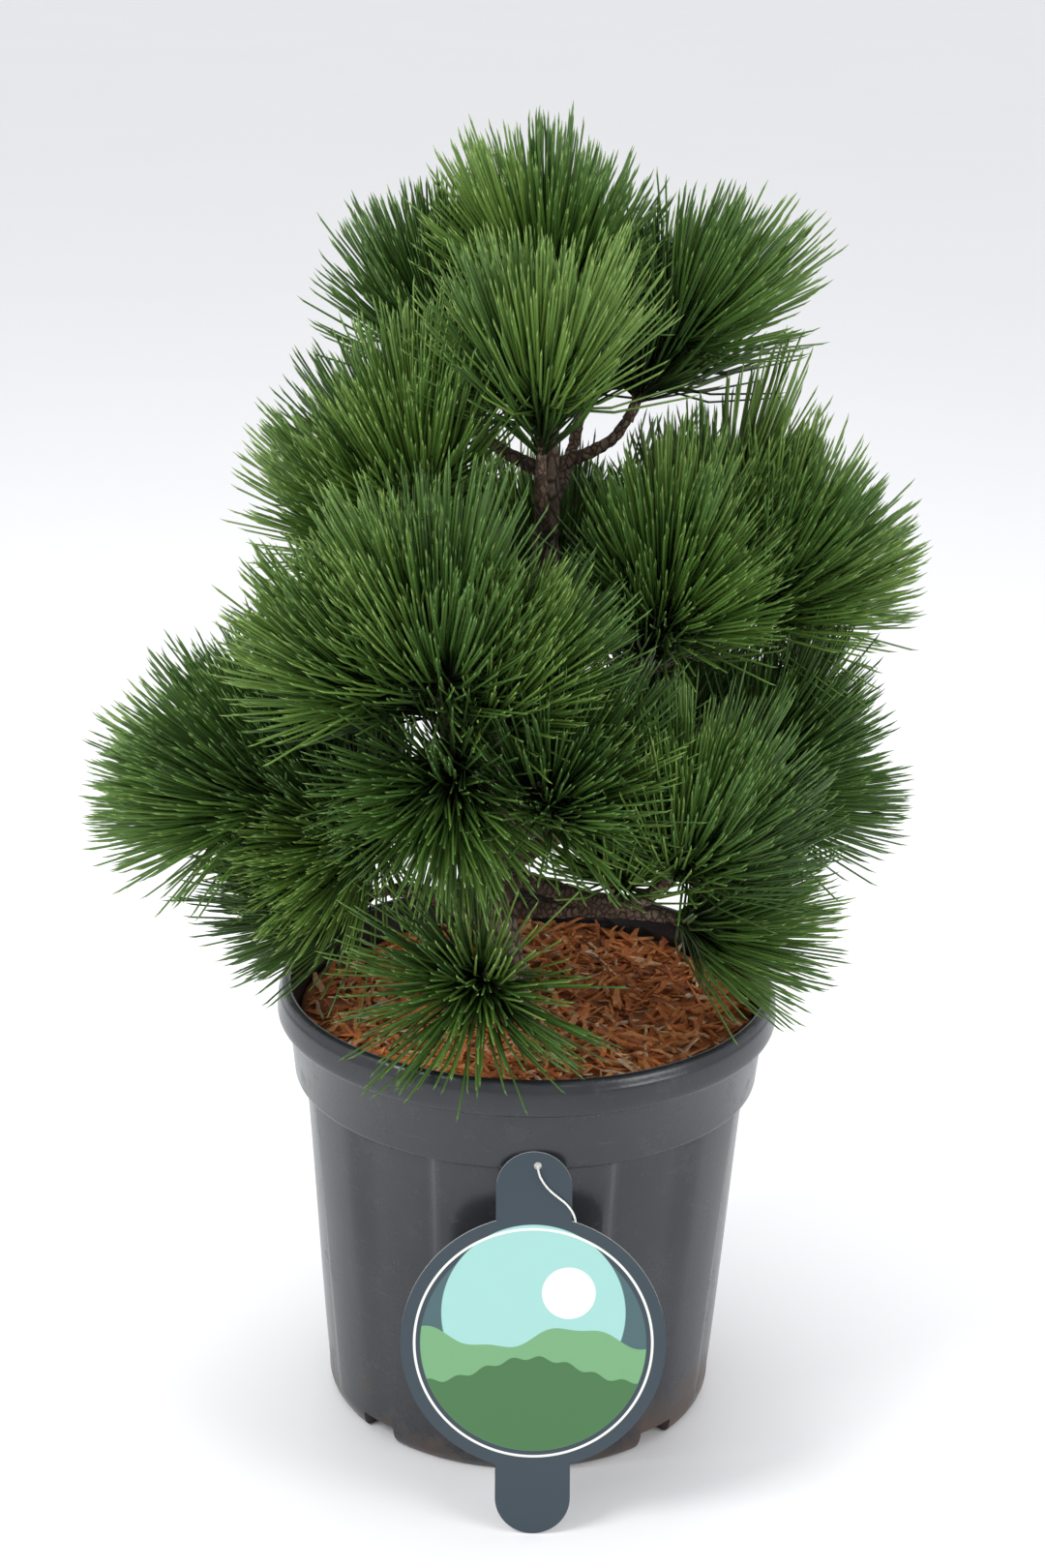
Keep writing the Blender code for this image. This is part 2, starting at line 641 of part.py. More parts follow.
def makeString():
    route = stringRoute()
    curve = bpy.data.curves.new("card_string", "CURVE")
    curve.dimensions = "3D"
    curve.bevel_depth = STRING_RADIUS
    curve.bevel_resolution = 2
    curve.use_fill_caps = True
    spline = curve.splines.new("POLY")
    spline.points.add(len(route) - 1)
    for place, point in zip(spline.points, route):
        place.co = (*point, 1.0)
    curve.materials.append(material("string", STRING, 0.8))
    made = bpy.data.objects.new("card_string", curve)
    bpy.context.scene.collection.objects.link(made)
    return route


def makeKnot(name, centre, radii):
    """A small rounded knot; radii run sideways, up the card and out from it."""
    points, sides, rings = [], 10, 6
    for ring in range(1, rings):
        polarAngle = math.pi * ring / rings
        for side in range(sides):
            turn = 2 * math.pi * side / sides
            points.append(onCard(centre[0] + radii[0] * math.sin(polarAngle) * math.cos(turn),
                                 centre[1] + radii[1] * math.cos(polarAngle),
                                 centre[2] + radii[2] * math.sin(polarAngle) * math.sin(turn)))
    faces = ringFaces(rings - 1, sides)
    faces.append(tuple(range(sides)))
    faces.append(tuple(range((rings - 2) * sides, (rings - 1) * sides)))
    return addMesh(name, points, faces, material("string", STRING, 0.8))


def makeTag():
    makeCard()
    makeString()
    side, up, out = STRING_ROUTE[-1]
    makeKnot("string_knot", (side, up - KNOT_RADIUS - GAP, out), (KNOT_RADIUS,) * 3)
    behind = -CARD_THICKNESS - GAP - STOP_HALF_THICKNESS
    makeKnot("string_stop", (HOLE_SIDE, HOLE_HEIGHT, behind),
             (STOP_RADIUS, STOP_RADIUS, STOP_HALF_THICKNESS))


clearScene()
makePot()
makeMulch()
trunkPoints, trunkRadii = trunkRoute()
trunkRings = makeTrunk(trunkPoints, trunkRadii)
makeCrown(trunkPoints, trunkRadii, trunkRings)
makeTag()
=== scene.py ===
# Young Bosnian pine in a plastic nursery pot, with bark mulch and a hang card.
# Metres, +Z up, front towards -Y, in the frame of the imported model.

import math
import random

import bmesh
import bpy
import numpy as np
from mathutils import Matrix, Vector, noise


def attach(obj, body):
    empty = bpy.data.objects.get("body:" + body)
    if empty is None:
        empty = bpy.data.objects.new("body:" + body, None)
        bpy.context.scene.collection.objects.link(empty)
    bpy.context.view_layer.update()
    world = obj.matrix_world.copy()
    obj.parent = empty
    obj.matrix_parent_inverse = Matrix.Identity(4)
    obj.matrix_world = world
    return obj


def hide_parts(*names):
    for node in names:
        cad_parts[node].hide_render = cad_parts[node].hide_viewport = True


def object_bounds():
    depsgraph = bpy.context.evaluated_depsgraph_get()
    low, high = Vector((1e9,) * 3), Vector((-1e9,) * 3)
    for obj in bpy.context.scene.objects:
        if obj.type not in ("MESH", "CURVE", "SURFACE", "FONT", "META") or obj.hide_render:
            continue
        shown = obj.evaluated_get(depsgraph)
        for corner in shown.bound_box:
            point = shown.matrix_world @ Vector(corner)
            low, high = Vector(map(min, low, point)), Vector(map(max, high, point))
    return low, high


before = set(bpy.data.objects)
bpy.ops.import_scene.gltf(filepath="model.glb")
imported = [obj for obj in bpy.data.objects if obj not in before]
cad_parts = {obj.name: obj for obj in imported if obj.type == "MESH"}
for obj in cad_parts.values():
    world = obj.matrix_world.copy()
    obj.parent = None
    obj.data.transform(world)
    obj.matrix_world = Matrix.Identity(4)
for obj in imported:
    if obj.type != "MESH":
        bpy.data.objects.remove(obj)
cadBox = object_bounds()
bodyName = "root"
scene = bpy.context.scene


# Small tools

def polar(turn, reach, height):
    angle = math.radians(turn)
    return Vector((reach * math.sin(angle), -reach * math.cos(angle), height))


def heading(lean, turn):
    tilt = math.radians(lean)
    return polar(turn, math.sin(tilt), math.cos(tilt))


def smoothstep(low, high, value):
    part = min(1.0, max(0.0, (value - low) / (high - low)))
    return part * part * (3.0 - 2.0 * part)


def onCurve(points, index, part):
    # A place on the smooth line through the points, a share of the way to the next one
    last = len(points) - 1
    before, start, end, after = (points[min(last, max(0, index + step))] for step in (-1, 0, 1, 2))
    return 0.5 * (2 * start + (end - before) * part
                  + (2 * before - 5 * start + 4 * end - after) * part ** 2
                  + (3 * start - before - 3 * end + after) * part ** 3)


def ringFaces(rings, sides, first=0):
    faces = []
    for low in range(first, first + (rings - 1) * sides, sides):
        for side in range(sides):
            following = (side + 1) % sides
            faces.append((low + side, low + following, low + sides + following, low + sides + side))
    return faces


def closedFaces(rings, sides):
    # Rings joined up, with a cap on the first and the last
    caps = [tuple(range(start, start + sides)) for start in (0, (rings - 1) * sides)]
    return ringFaces(rings, sides) + caps


def crossAxes(direction):
    side = direction.orthogonal().normalized()
    return side, direction.cross(side)


def spun(side, other, turn):
    return side * math.cos(turn) + other * math.sin(turn)


def frames(points):
    last = len(points) - 1
    tangents = [(points[min(last, index + 1)] - points[max(0, index - 1)]).normalized()
                for index in range(last + 1)]
    side = tangents[0].orthogonal().normalized()
    result = []
    for tangent in tangents:
        side = (side - tangent * side.dot(tangent)).normalized()
        result.append((side, tangent.cross(side)))
    return result


def alongRoute(points, fraction):
    spans = [(points[index + 1] - points[index]).length for index in range(len(points) - 1)]
    left = fraction * sum(spans)
    for index, span in enumerate(spans):
        if left <= span or index == len(spans) - 1:
            direction = (points[index + 1] - points[index]).normalized()
            return points[index] + direction * left, direction, index + left / span
        left -= span


def denseRoute(points, sizes, step):
    # The same smooth line with more points on it, and a size at each
    route, thick = [points[0]], [sizes[0]]
    for index in range(len(points) - 1):
        count = max(1, round((points[index + 1] - points[index]).length / step))
        for number in range(1, count + 1):
            part = number / count
            route.append(onCurve(points, index, part))
            thick.append(sizes[index] + (sizes[index + 1] - sizes[index]) * part)
    return route, thick


def addObject(name, data):
    made = bpy.data.objects.new(name, data)
    scene.collection.objects.link(made)
    return made


def addMesh(name, points, faces, finishes, smooth=True):
    mesh = bpy.data.meshes.new(name)
    mesh.from_pydata([tuple(point) for point in points], [], faces)
    mesh.validate()
    for finish in finishes:
        mesh.materials.append(finish)
    shape = bmesh.new()
    shape.from_mesh(mesh)
    bmesh.ops.recalc_face_normals(shape, faces=shape.faces)
    shape.to_mesh(mesh)
    shape.free()
    mesh.polygons.foreach_set("use_smooth", [smooth] * len(mesh.polygons))
    return addObject(name, mesh)


def makePlain(piece):
    # The piece as its modifiers leave it, with no modifier on it
    bpy.context.view_layer.update()
    plain = bpy.data.meshes.new_from_object(piece.evaluated_get(bpy.context.evaluated_depsgraph_get()))
    piece.modifiers.clear()
    piece.data = plain
    return plain


def joinOn(points, faces, morePoints, moreFaces):
    base = len(points)
    points += morePoints
    faces += [tuple(base + corner for corner in face) for face in moreFaces]


def settle(piece, nodes=()):
    # Every piece is part of the one body
    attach(piece, bodyName)
    if nodes:
        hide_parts(*nodes)


def addNode(tree, kind, settings, values):
    made = tree.nodes.new(kind)
    for name, value in settings.items():
        setattr(made, name, value)
    for name, value in values.items():
        plug(tree, made.inputs[name], value)
    return made


def plug(tree, socket, value):
    if isinstance(value, Wire):
        value = value.socket
    if isinstance(value, bpy.types.NodeSocket):
        tree.links.new(value, socket)
    elif isinstance(value, tuple) and len(value) == 3 and socket.type == "RGBA":
        socket.default_value = (*value, 1.0)
    else:
        socket.default_value = value


# Finishes

class Wire:
    # A node's output that takes part in sums; each sign adds its Math node
    def __init__(self, finish, socket):
        self.finish = finish
        self.socket = socket

    def __add__(self, other):
        return self.finish.math("ADD", self, other)

    def __sub__(self, other):
        return self.finish.math("SUBTRACT", self, other)

    def __rsub__(self, other):
        return self.finish.math("SUBTRACT", other, self)

    def __mul__(self, other):
        return self.finish.math("MULTIPLY", self, other)

    __radd__ = __add__
    __rmul__ = __mul__

    def __lt__(self, other):
        return self.finish.math("LESS_THAN", self, other)

    def ramp(self, low, high):
        # 0 at low, 1 at high, smooth between
        return self.finish.node("ShaderNodeMapRange", dict(interpolation_type="SMOOTHSTEP"),
                                {"Value": self, "From Min": low, "From Max": high})


class Finish:
    def __init__(self, name, colour, roughness):
        self.material = bpy.data.materials.new(name)
        self.material.use_nodes = True
        self.tree = self.material.node_tree
        self.shader = self.tree.nodes["Principled BSDF"]
        self.set("Base Color", colour)
        self.set("Roughness", roughness)

    def set(self, name, value):
        plug(self.tree, self.shader.inputs[name], value)

    def node(self, kind, settings, values, output=0):
        return Wire(self, addNode(self.tree, kind, settings, values).outputs[output])

    def math(self, operation, *values):
        return self.node("ShaderNodeMath", dict(operation=operation), dict(enumerate(values)))

    def bands(self, factor, stops):
        made = addNode(self.tree, "ShaderNodeValToRGB", {}, {"Fac": factor})
        elements = made.color_ramp.elements
        while len(elements) < len(stops):
            elements.new(0.5)
        for element, (place, colour) in zip(elements, stops):
            element.position = place
            element.color = (*colour, 1.0)
        return Wire(self, made.outputs[0])

    def place(self, scale=(1.0, 1.0, 1.0)):
        where = self.node("ShaderNodeTexCoord", {}, {}, "Object")
        return self.node("ShaderNodeMapping", {}, {"Vector": where, "Scale": scale})

    def parts(self, where):
        # A place's three numbers
        return [self.node("ShaderNodeSeparateXYZ", {}, {0: where}, axis) for axis in range(3)]

    def noise(self, scale, detail=4.0, roughness=0.55, stretch=(1.0, 1.0, 1.0)):
        return self.node("ShaderNodeTexNoise", {}, {"Vector": self.place(stretch), "Scale": scale,
                                                    "Detail": detail, "Roughness": roughness})

    def mix(self, factor, first, second):
        return self.node("ShaderNodeMix", dict(data_type="RGBA"),
                         {"Factor": factor, 6: first, 7: second}, 2)

    def bump(self, height, strength, distance):
        self.set("Normal", self.node("ShaderNodeBump", {}, {"Height": height, "Strength": strength,
                                                            "Distance": distance}))


# Camera

cameraPlan = dict(place=(-0.0056, -1.63, 0.986), pitch=20.0, roll=0.023, lens=67.8, longSide=36.0,
                  nearest=0.05)


def makeCamera():
    data = bpy.data.cameras.new("camera")
    data.sensor_width = cameraPlan["longSide"]
    data.lens = cameraPlan["lens"]
    data.clip_start = cameraPlan["nearest"]
    camera = addObject("camera", data)
    turn = Matrix.Rotation(math.radians(90.0 - cameraPlan["pitch"]), 4, "X")
    turn = turn @ Matrix.Rotation(cameraPlan["roll"], 4, "Z")
    camera.matrix_world = Matrix.Translation(cameraPlan["place"]) @ turn
    scene.camera = camera


makeCamera()
print("camera placed")


# Hang card's place, and its string

cardPlan = dict(thickness=0.0008, length=0.2275, tab=0.0215, disc=0.0756, discHeight=0.1145,
                lean=10.13, tilt=1.0, foot=(0.0098, -0.1816, 0.0006),
                holeSide=0.002, holeHeight=0.2193, holeRadius=0.0022)
stringPlan = dict(
    radius=0.0006, points=44,
    # Sideways, up the card and out from its front face
    route=((0.002, 0.2193, -0.0004), (0.002, 0.2192, 0.0006), (0.0021, 0.2186, 0.0019),
           (0.0024, 0.2168, 0.0028), (0.003, 0.2145, 0.0026), (0.0044, 0.2115, 0.0019),
           (0.0068, 0.2078, 0.0015), (0.01, 0.2044, 0.0015), (0.0138, 0.2013, 0.0016),
           (0.0174, 0.1984, 0.0017), (0.0203, 0.195, 0.0015), (0.0222, 0.1915, 0.0006),
           (0.0232, 0.1882, -0.0008), (0.0236, 0.185, -0.002), (0.0238, 0.1812, -0.0027),
           (0.0239, 0.175, -0.0028), (0.024, 0.165, -0.0028), (0.024, 0.15, -0.0028),
           (0.0241, 0.135, -0.0028), (0.0242, 0.12, -0.0028)),
    knot=0.0017, stop=0.0029, stopHalf=0.0008, gap=0.0003, wrap=0.1,
    shade=(0.62, 0.61, 0.56), light=(0.88, 0.88, 0.84))


def cardFrame():
    lean = Matrix.Rotation(math.radians(-cardPlan["lean"]), 4, "X")
    tilt = Matrix.Rotation(math.radians(-cardPlan["tilt"]), 4, "Y")
    return Matrix.Translation(cardPlan["foot"]) @ lean @ tilt


def onCard(side, up, out):
    return cardFrame() @ Vector((side, -out, up))


def stringFinish():
    finish = Finish("string_finish", (0.8, 0.8, 0.76), 0.85)
    fibre = finish.noise(900.0, detail=3.0, stretch=(1.0, 1.0, 0.25))
    finish.set("Base Color", finish.mix(fibre.ramp(0.35, 0.65), stringPlan["shade"], stringPlan["light"]))
    finish.bump(fibre, 0.5, 0.0003)
    return finish.material


def makeKnot(name, centre, radii, finish):
    points, sides, rings = [], 20, 12
    for ring in range(1, rings):
        polarAngle = math.pi * ring / rings
        for side in range(sides):
            turn = 2 * math.pi * side / sides
            wide = (1.0 + stringPlan["wrap"] * math.sin(2 * turn + 5 * polarAngle)) * math.sin(polarAngle)
            points.append(onCard(centre[0] + radii[0] * wide * math.cos(turn),
                                 centre[1] + radii[1] * math.cos(polarAngle),
                                 centre[2] + radii[2] * wide * math.sin(turn)))
    return addMesh(name, points, closedFaces(rings - 1, sides), [finish])


def makeString():
    plan = stringPlan
    finish = stringFinish()
    knots = [onCard(*point) for point in plan["route"]]
    dense = [onCurve(knots, index, step / 12) for index in range(len(knots) - 1) for step in range(12)]
    dense.append(knots[-1])
    count = plan["points"]
    route = [alongRoute(dense, step / (count - 1))[0] for step in range(count)]
    curve = bpy.data.curves.new("tag_string", "CURVE")
    curve.dimensions = "3D"
    curve.bevel_depth = plan["radius"]
    curve.bevel_resolution = 3
    curve.use_fill_caps = True
    spline = curve.splines.new("POLY")
    spline.points.add(len(route) - 1)
    for place, point in zip(spline.points, route):
        place.co = (*point, 1.0)
    curve.materials.append(finish)
    string = addObject("tag_string", curve)
    side, up, out = plan["route"][-1]
    radius = plan["knot"]
    below = up - radius - plan["gap"]
    endKnot = makeKnot("tag_string_knot", (side, below, out), (radius,) * 3, finish)
    behind = -cardPlan["thickness"] - plan["gap"] - plan["stopHalf"]
    stop = makeKnot("tag_string_stop", (cardPlan["holeSide"], cardPlan["holeHeight"], behind),
                    (plan["stop"], plan["stop"], plan["stopHalf"]), finish)
    settle(string, ["card_string"])
    settle(endKnot, ["string_knot"])
    settle(stop, ["string_stop"])
    length = sum((route[index + 1] - route[index]).length for index in range(count - 1))
    print("string length", round(length, 4))


makeString()


# Hang card

cardPrint = dict(
    slate=(0.028, 0.045, 0.06), ground=(0.055, 0.115, 0.125), field=(0.33, 0.6, 0.56),
    sun=(0.86, 0.88, 0.8), hillFar=(0.16, 0.36, 0.17), hillNear=(0.05, 0.155, 0.05),
    paper=((0.74, 0.74, 0.7), (0.84, 0.84, 0.81)),
    inside=0.064, panel=0.052, panelRise=0.018, sunRadius=0.015, sunPlace=(0.02, 0.03),
    ringInner=0.0668, ringOuter=0.0682, blur=0.0006, crisp=0.0004, farRise=0.118, nearRise=0.099)


def cardFinish():
    # A generic print: slate edge, pale water-green field, a low sun and hills
    look = cardPrint
    finish = Finish("card_print", (0.3, 0.5, 0.5), 0.32)
    side, up = finish.parts(finish.node("ShaderNodeUVMap", dict(uv_map="card"), {}))[:2]

    def outsideOf(x, rise, radius, blur):
        across, along = side - x, up - (cardPlan["discHeight"] + rise)
        return finish.math("SQRT", across * across + along * along).ramp(radius, radius + blur)

    def wave(often, deep, turn=0.0):
        return finish.math("SINE", side * often + turn) * deep

    inside = 1.0 - outsideOf(0.0, 0.0, look["inside"], look["blur"])
    panel = 1.0 - outsideOf(0.0, look["panelRise"], look["panel"], look["blur"])
    sunDisc = 1.0 - outsideOf(*look["sunPlace"], look["sunRadius"], look["crisp"])
    ring = outsideOf(0.0, 0.0, look["ringInner"], look["crisp"]) \
        * (1.0 - outsideOf(0.0, 0.0, look["ringOuter"], look["crisp"]))
    farLine = wave(70.0, 0.006) + wave(190.0, 0.0016) + look["farRise"]
    nearLine = wave(55.0, 0.007, 1.6) + wave(400.0, 0.0012) + look["nearRise"]
    colour = finish.mix(inside, look["slate"], look["ground"])
    for mask, paint in ((panel, "field"), (panel * sunDisc, "sun"), (inside * (up < farLine), "hillFar"),
                        (inside * (up < nearLine), "hillNear"), (ring, "sun")):
        colour = finish.mix(mask, colour, look[paint])
    finish.set("Base Color", colour)
    finish.bump(finish.noise(260.0), 0.05, 0.0005)
    return finish.material


def makeCard():
    tab, disc, middle = cardPlan["tab"], cardPlan["disc"], cardPlan["discHeight"]
    notch = math.asin(tab / disc)

    def arc(centre, radius, first, last, steps):
        for step in range(steps + 1):
            angle = first + (last - first) * step / steps
            yield (radius * math.sin(angle), centre + radius * math.cos(angle))

    outline = list(arc(cardPlan["length"] - tab, tab, -math.pi / 2, math.pi / 2, 32))
    outline += list(arc(middle, disc, notch, math.pi - notch, 56))
    outline += list(arc(tab, tab, math.pi / 2, 3 * math.pi / 2, 32))
    outline += list(arc(middle, disc, math.pi + notch, 2 * math.pi - notch, 56))
    shape = bmesh.new()
    radius = cardPlan["holeRadius"]
    hole = [(cardPlan["holeSide"] + radius * math.cos(step * math.pi / 12),
             cardPlan["holeHeight"] + radius * math.sin(step * math.pi / 12)) for step in range(24)]
    edges = []
    for line in (outline, hole):
        corners = [shape.verts.new((x, 0.0, z)) for x, z in line]
        edges += [shape.edges.new((corners[index], corners[(index + 1) % len(corners)]))
                  for index in range(len(corners))]
    bmesh.ops.triangle_fill(shape, use_beauty=True, edges=edges)
    for face in shape.faces:
        if face.normal.y > 0:
            face.normal_flip()
    made = bmesh.ops.extrude_face_region(shape, geom=list(shape.faces))
    back = [item for item in made["geom"] if isinstance(item, bmesh.types.BMVert)]
    bmesh.ops.translate(shape, verts=back, vec=(0.0, cardPlan["thickness"], 0.0))
    bmesh.ops.recalc_face_normals(shape, faces=shape.faces)
    layer = shape.loops.layers.uv.new("card")
    for face in shape.faces:
        face.material_index = 0 if face.normal.y < -0.5 else 1
        for loop in face.loops:
            loop[layer].uv = (loop.vert.co.x, loop.vert.co.z)
    mesh = bpy.data.meshes.new("print_card")
    shape.to_mesh(mesh)
    shape.free()
    mesh.transform(cardFrame())
    paper = Finish("card_paper", (0.8, 0.8, 0.77), 0.6)
    paper.set("Base Color", paper.mix(paper.noise(300.0), *cardPrint["paper"]))
    mesh.materials.append(cardFinish())
    mesh.materials.append(paper.material)
    settle(addObject("print_card", mesh), ["hang_card"])


makeCard()
print("card and string made")


# Pot

potPlan = dict(
    height=0.27, rim=0.15, mouth=0.1415, rimDrop=0.021, collarBottom=0.213, collar=0.1395,
    wallTop=0.1372, wallFoot=0.1195, foot=0.1124, corner=0.014, floor=0.016,
    innerFoot=0.1095, innerCollar=0.1318, fluteTop=0.0038, fluteFoot=0.0008,
    notchTurn=45.0, notchWidth=0.031, notchHeight=0.012, notchDepth=0.02, sides=288,
    # Degrees where each quarter's recesses begin and end, and the height where they fade out
    fluteIn=(21.5, 23.5), fluteOut=(40.0, 50.0), fluteNext=(65.5, 67.5), fluteFade=0.004,
    # Steps across and up from the collar's edge, the rim's edge and the mouth
    lip=((-0.0012, -0.0012), (-0.0002, -0.0004), (0.0002, 0.001)),
    collarTop=((0.0034, -0.003), (0.0044, -0.0012)),
    rollFoot=((-0.003, -0.0004), (-0.0008, 0.001), (0.0, 0.0048)),
    rollTop=((-0.0008, -0.0072), (-0.0016, -0.005), (-0.003, -0.0016), (-0.005, -0.0001)),
    rollMouth=((0.0018, 0.0), (0.0003, -0.0012), (0.0, -0.0034)),
    inside=((0.0072, 0.006), (0.0055, 0.0)),
    shade=(0.012, 0.014, 0.018), sheen=(0.021, 0.024, 0.03), dust=(0.12, 0.12, 0.125),
    scratch=(0.2, 0.2, 0.21), earth=(0.15, 0.085, 0.045), earthTop=0.055)


def fluteDepth(degrees, height):
    plan = potPlan
    folded = abs((degrees + 180.0) % 360.0 - 180.0)
    folded = min(folded, 180.0 - folded)
    first = smoothstep(*plan["fluteIn"], folded) * (1.0 - smoothstep(*plan["fluteOut"], folded))
    second = smoothstep(*plan["fluteNext"], folded)
    rise = smoothstep(plan["corner"], plan["collarBottom"], height)
    fade = smoothstep(plan["fluteFade"], plan["corner"], height)
    return (first + second) * fade * (plan["fluteFoot"] + rise * (plan["fluteTop"] - plan["fluteFoot"]))


def potOutline():
    # Radius, height and whether the flutes act there, up the outside and down the inside
    plan = potPlan
    rimBottom = plan["height"] - plan["rimDrop"]

    def near(radius, height, name):
        return [Vector((radius + across, height + up)) for across, up in plan[name]]

    outline = []
    bulge = plan["wallFoot"] - plan["foot"]
    for step in range(9):
        angle = math.radians(90.0 * step / 8)
        up = plan["corner"] * (1.0 - math.cos(angle))
        outline.append((plan["foot"] + bulge * math.sin(angle), up, step > 4))
    steps = 24
    low, high = plan["corner"], plan["collarBottom"] - 0.0022
    for step in range(1, steps + 1):
        height = low + (high - low) * step / steps
        part = (height - low) / (plan["collarBottom"] - low)
        outline.append((plan["wallFoot"] + part * (plan["wallTop"] - plan["wallFoot"]), height, True))
    roll = near(plan["rim"], rimBottom, "rollFoot") + near(plan["rim"], plan["height"], "rollTop")
    roll += near(plan["mouth"], plan["height"], "rollMouth")
    rest = near(plan["collar"], plan["collarBottom"], "lip") + near(plan["collar"], rimBottom, "collarTop")
    rest += [onCurve(roll, index, step / 3) for index in range(len(roll) - 1) for step in range(3)]
    rest.append(roll[-1])
    rest += near(plan["innerCollar"], rimBottom, "inside")
    rest.append(Vector((plan["innerCollar"], plan["collarBottom"])))
    rest.append(Vector((plan["innerFoot"], plan["floor"])))
    return outline + [(place.x, place.y, False) for place in rest]


def notchCutter(turn):
    corner, foot = potPlan["notchWidth"] / 2, potPlan["foot"]
    points = []
    for outward in (foot - potPlan["notchDepth"], foot + 0.02):
        points += [(-corner, -outward, -0.01), (corner, -outward, -0.01),
                   (corner * 0.8, -outward, potPlan["notchHeight"]),
                   (-corner * 0.8, -outward, potPlan["notchHeight"])]
    cutter = addMesh("notch", points, closedFaces(2, 4), [])
    cutter.rotation_euler = (0.0, 0.0, math.radians(turn))
    return cutter


def potFinish():
    finish = Finish("pot_plastic_finish", (0.035, 0.038, 0.046), 0.36)
    cloud = finish.noise(9.0, detail=5.0)
    dust = finish.noise(46.0, detail=6.0, roughness=0.7).ramp(0.52, 0.8)
    scratch = finish.noise(30.0, detail=8.0, roughness=0.75, stretch=(1.0, 1.0, 14.0)).ramp(0.6, 0.74)
    height = finish.parts(finish.place())[2]
    low = 1.0 - height.ramp(potPlan["fluteFade"], potPlan["earthTop"])
    earth = low * finish.noise(28.0, detail=5.0).ramp(0.4, 0.66)
    colour = finish.mix(cloud.ramp(0.3, 0.7), potPlan["shade"], potPlan["sheen"])
    for mask, paint in ((dust * 0.18, "dust"), (scratch * 0.14, "scratch"), (earth * 0.45, "earth")):
        colour = finish.mix(mask, colour, potPlan[paint])
    finish.set("Base Color", colour)
    finish.set("Roughness", 0.17 + cloud * 0.14 + dust * 0.18 + earth * 0.25)
    finish.bump(scratch * 0.25 + finish.noise(420.0, detail=2.0) * 0.3 + cloud * 0.5, 0.25, 0.0012)
    return finish.material


def makePot():
    outline = potOutline()
    sides = potPlan["sides"]
    points = []
    for radius, height, fluted in outline:
        for side in range(sides):
            turn = 360.0 * side / sides
            inset = fluteDepth(turn, height) if fluted else 0.0
            points.append(polar(turn, radius - inset, height))
    pot = addMesh("nursery_pot", points, closedFaces(len(outline), sides), [potFinish()])
    cutters = [notchCutter(potPlan["notchTurn"] + 90.0 * number) for number in range(4)]
    for cutter in cutters:
        modifier = pot.modifiers.new("cut", "BOOLEAN")
        modifier.operation = "DIFFERENCE"
        modifier.solver = "EXACT"
        modifier.object = cutter
    cutMesh = makePlain(pot)
    for cutter in cutters:
        bpy.data.objects.remove(cutter, do_unlink=True)
    cutMesh.polygons.foreach_set("use_smooth", [True] * len(cutMesh.polygons))
    cutMesh.set_sharp_from_angle(angle=math.radians(38.0))
    settle(pot, ["pot"])


makePot()
print("pot made")


# Mulch

mulchPlan = dict(
    level=0.248, uneven=0.0036, lumps=22.0, edge=0.136, depth=0.02, rings=40, sides=96,
    bare=0.006, seed=11, kinds=7,
    shreds=((0.0, (0.32, 0.09, 0.028)), (0.25, (0.58, 0.17, 0.042)), (0.55, (0.8, 0.285, 0.08)),
            (0.8, (0.78, 0.33, 0.12)), (0.93, (0.86, 0.56, 0.31)), (1.0, (0.9, 0.76, 0.56))),
    grain=(0.1, 0.04, 0.018), bedShade=(0.2, 0.07, 0.022), bedLight=(0.44, 0.15, 0.046))
# What the scattering tree is given
shredPlan = dict(Spacing=0.0034, Density=60000.0, Smallest=0.65, Largest=1.35, Tilt=0.6, Lift=0.0022,
                 Seed=mulchPlan["seed"])


def mulchPoint(turn, reach):
    place = polar(turn, reach, 0.0)
    spot = Vector((place.x * mulchPlan["lumps"], place.y * mulchPlan["lumps"], 0.3))
    place.z = mulchPlan["level"] + mulchPlan["uneven"] * noise.fractal(spot, 1.0, 2.0, 4)
    return place


def mulchFinish(name, tinted):
    finish = Finish(name, (0.3, 0.12, 0.05), 0.9)
    grain = finish.noise(210.0, detail=6.0, roughness=0.65)
    if tinted:
        tint = finish.node("ShaderNodeAttribute", dict(attribute_name="tint"), {}, "Fac")
        colour = finish.bands(tint, mulchPlan["shreds"])
        colour = finish.mix(grain.ramp(0.35, 0.7) * 0.5, colour, mulchPlan["grain"])
    else:
        patch = finish.noise(60.0, detail=3.0).ramp(0.35, 0.65)
        colour = finish.mix(patch, mulchPlan["bedShade"], mulchPlan["bedLight"])
    finish.set("Base Color", colour)
    finish.bump(grain, 0.7, 0.0012)
    return finish.material


def makeShred(name, chance):
    # One shredded bark flake: a long, bent, ragged sliver
    length, width = chance.uniform(0.008, 0.024), chance.uniform(0.0018, 0.0046)
    thick, bend = chance.uniform(0.0007, 0.0018), chance.uniform(-0.25, 0.25)
    stations = 4
    points = []
    for station in range(stations + 1):
        part = station / stations
        taper = (0.25 + 0.75 * math.sin(math.pi * (0.1 + 0.8 * part))) * chance.uniform(0.75, 1.15)
        middle = Vector(((part - 0.5) * length, chance.uniform(-0.12, 0.12) * width * 2,
                         bend * length * (0.25 - (part - 0.5) ** 2)))
        for turn in range(4):
            angle = math.pi / 4 + turn * math.pi / 2
            points.append(middle + Vector((chance.uniform(-0.05, 0.05) * length,
                                           math.cos(angle) * width * taper * 0.7,
                                           math.sin(angle) * thick * taper * 0.7)))
    shred = addMesh(name, points, closedFaces(stations + 1, 4), [], smooth=False)
    scene.collection.objects.unlink(shred)
    return shred


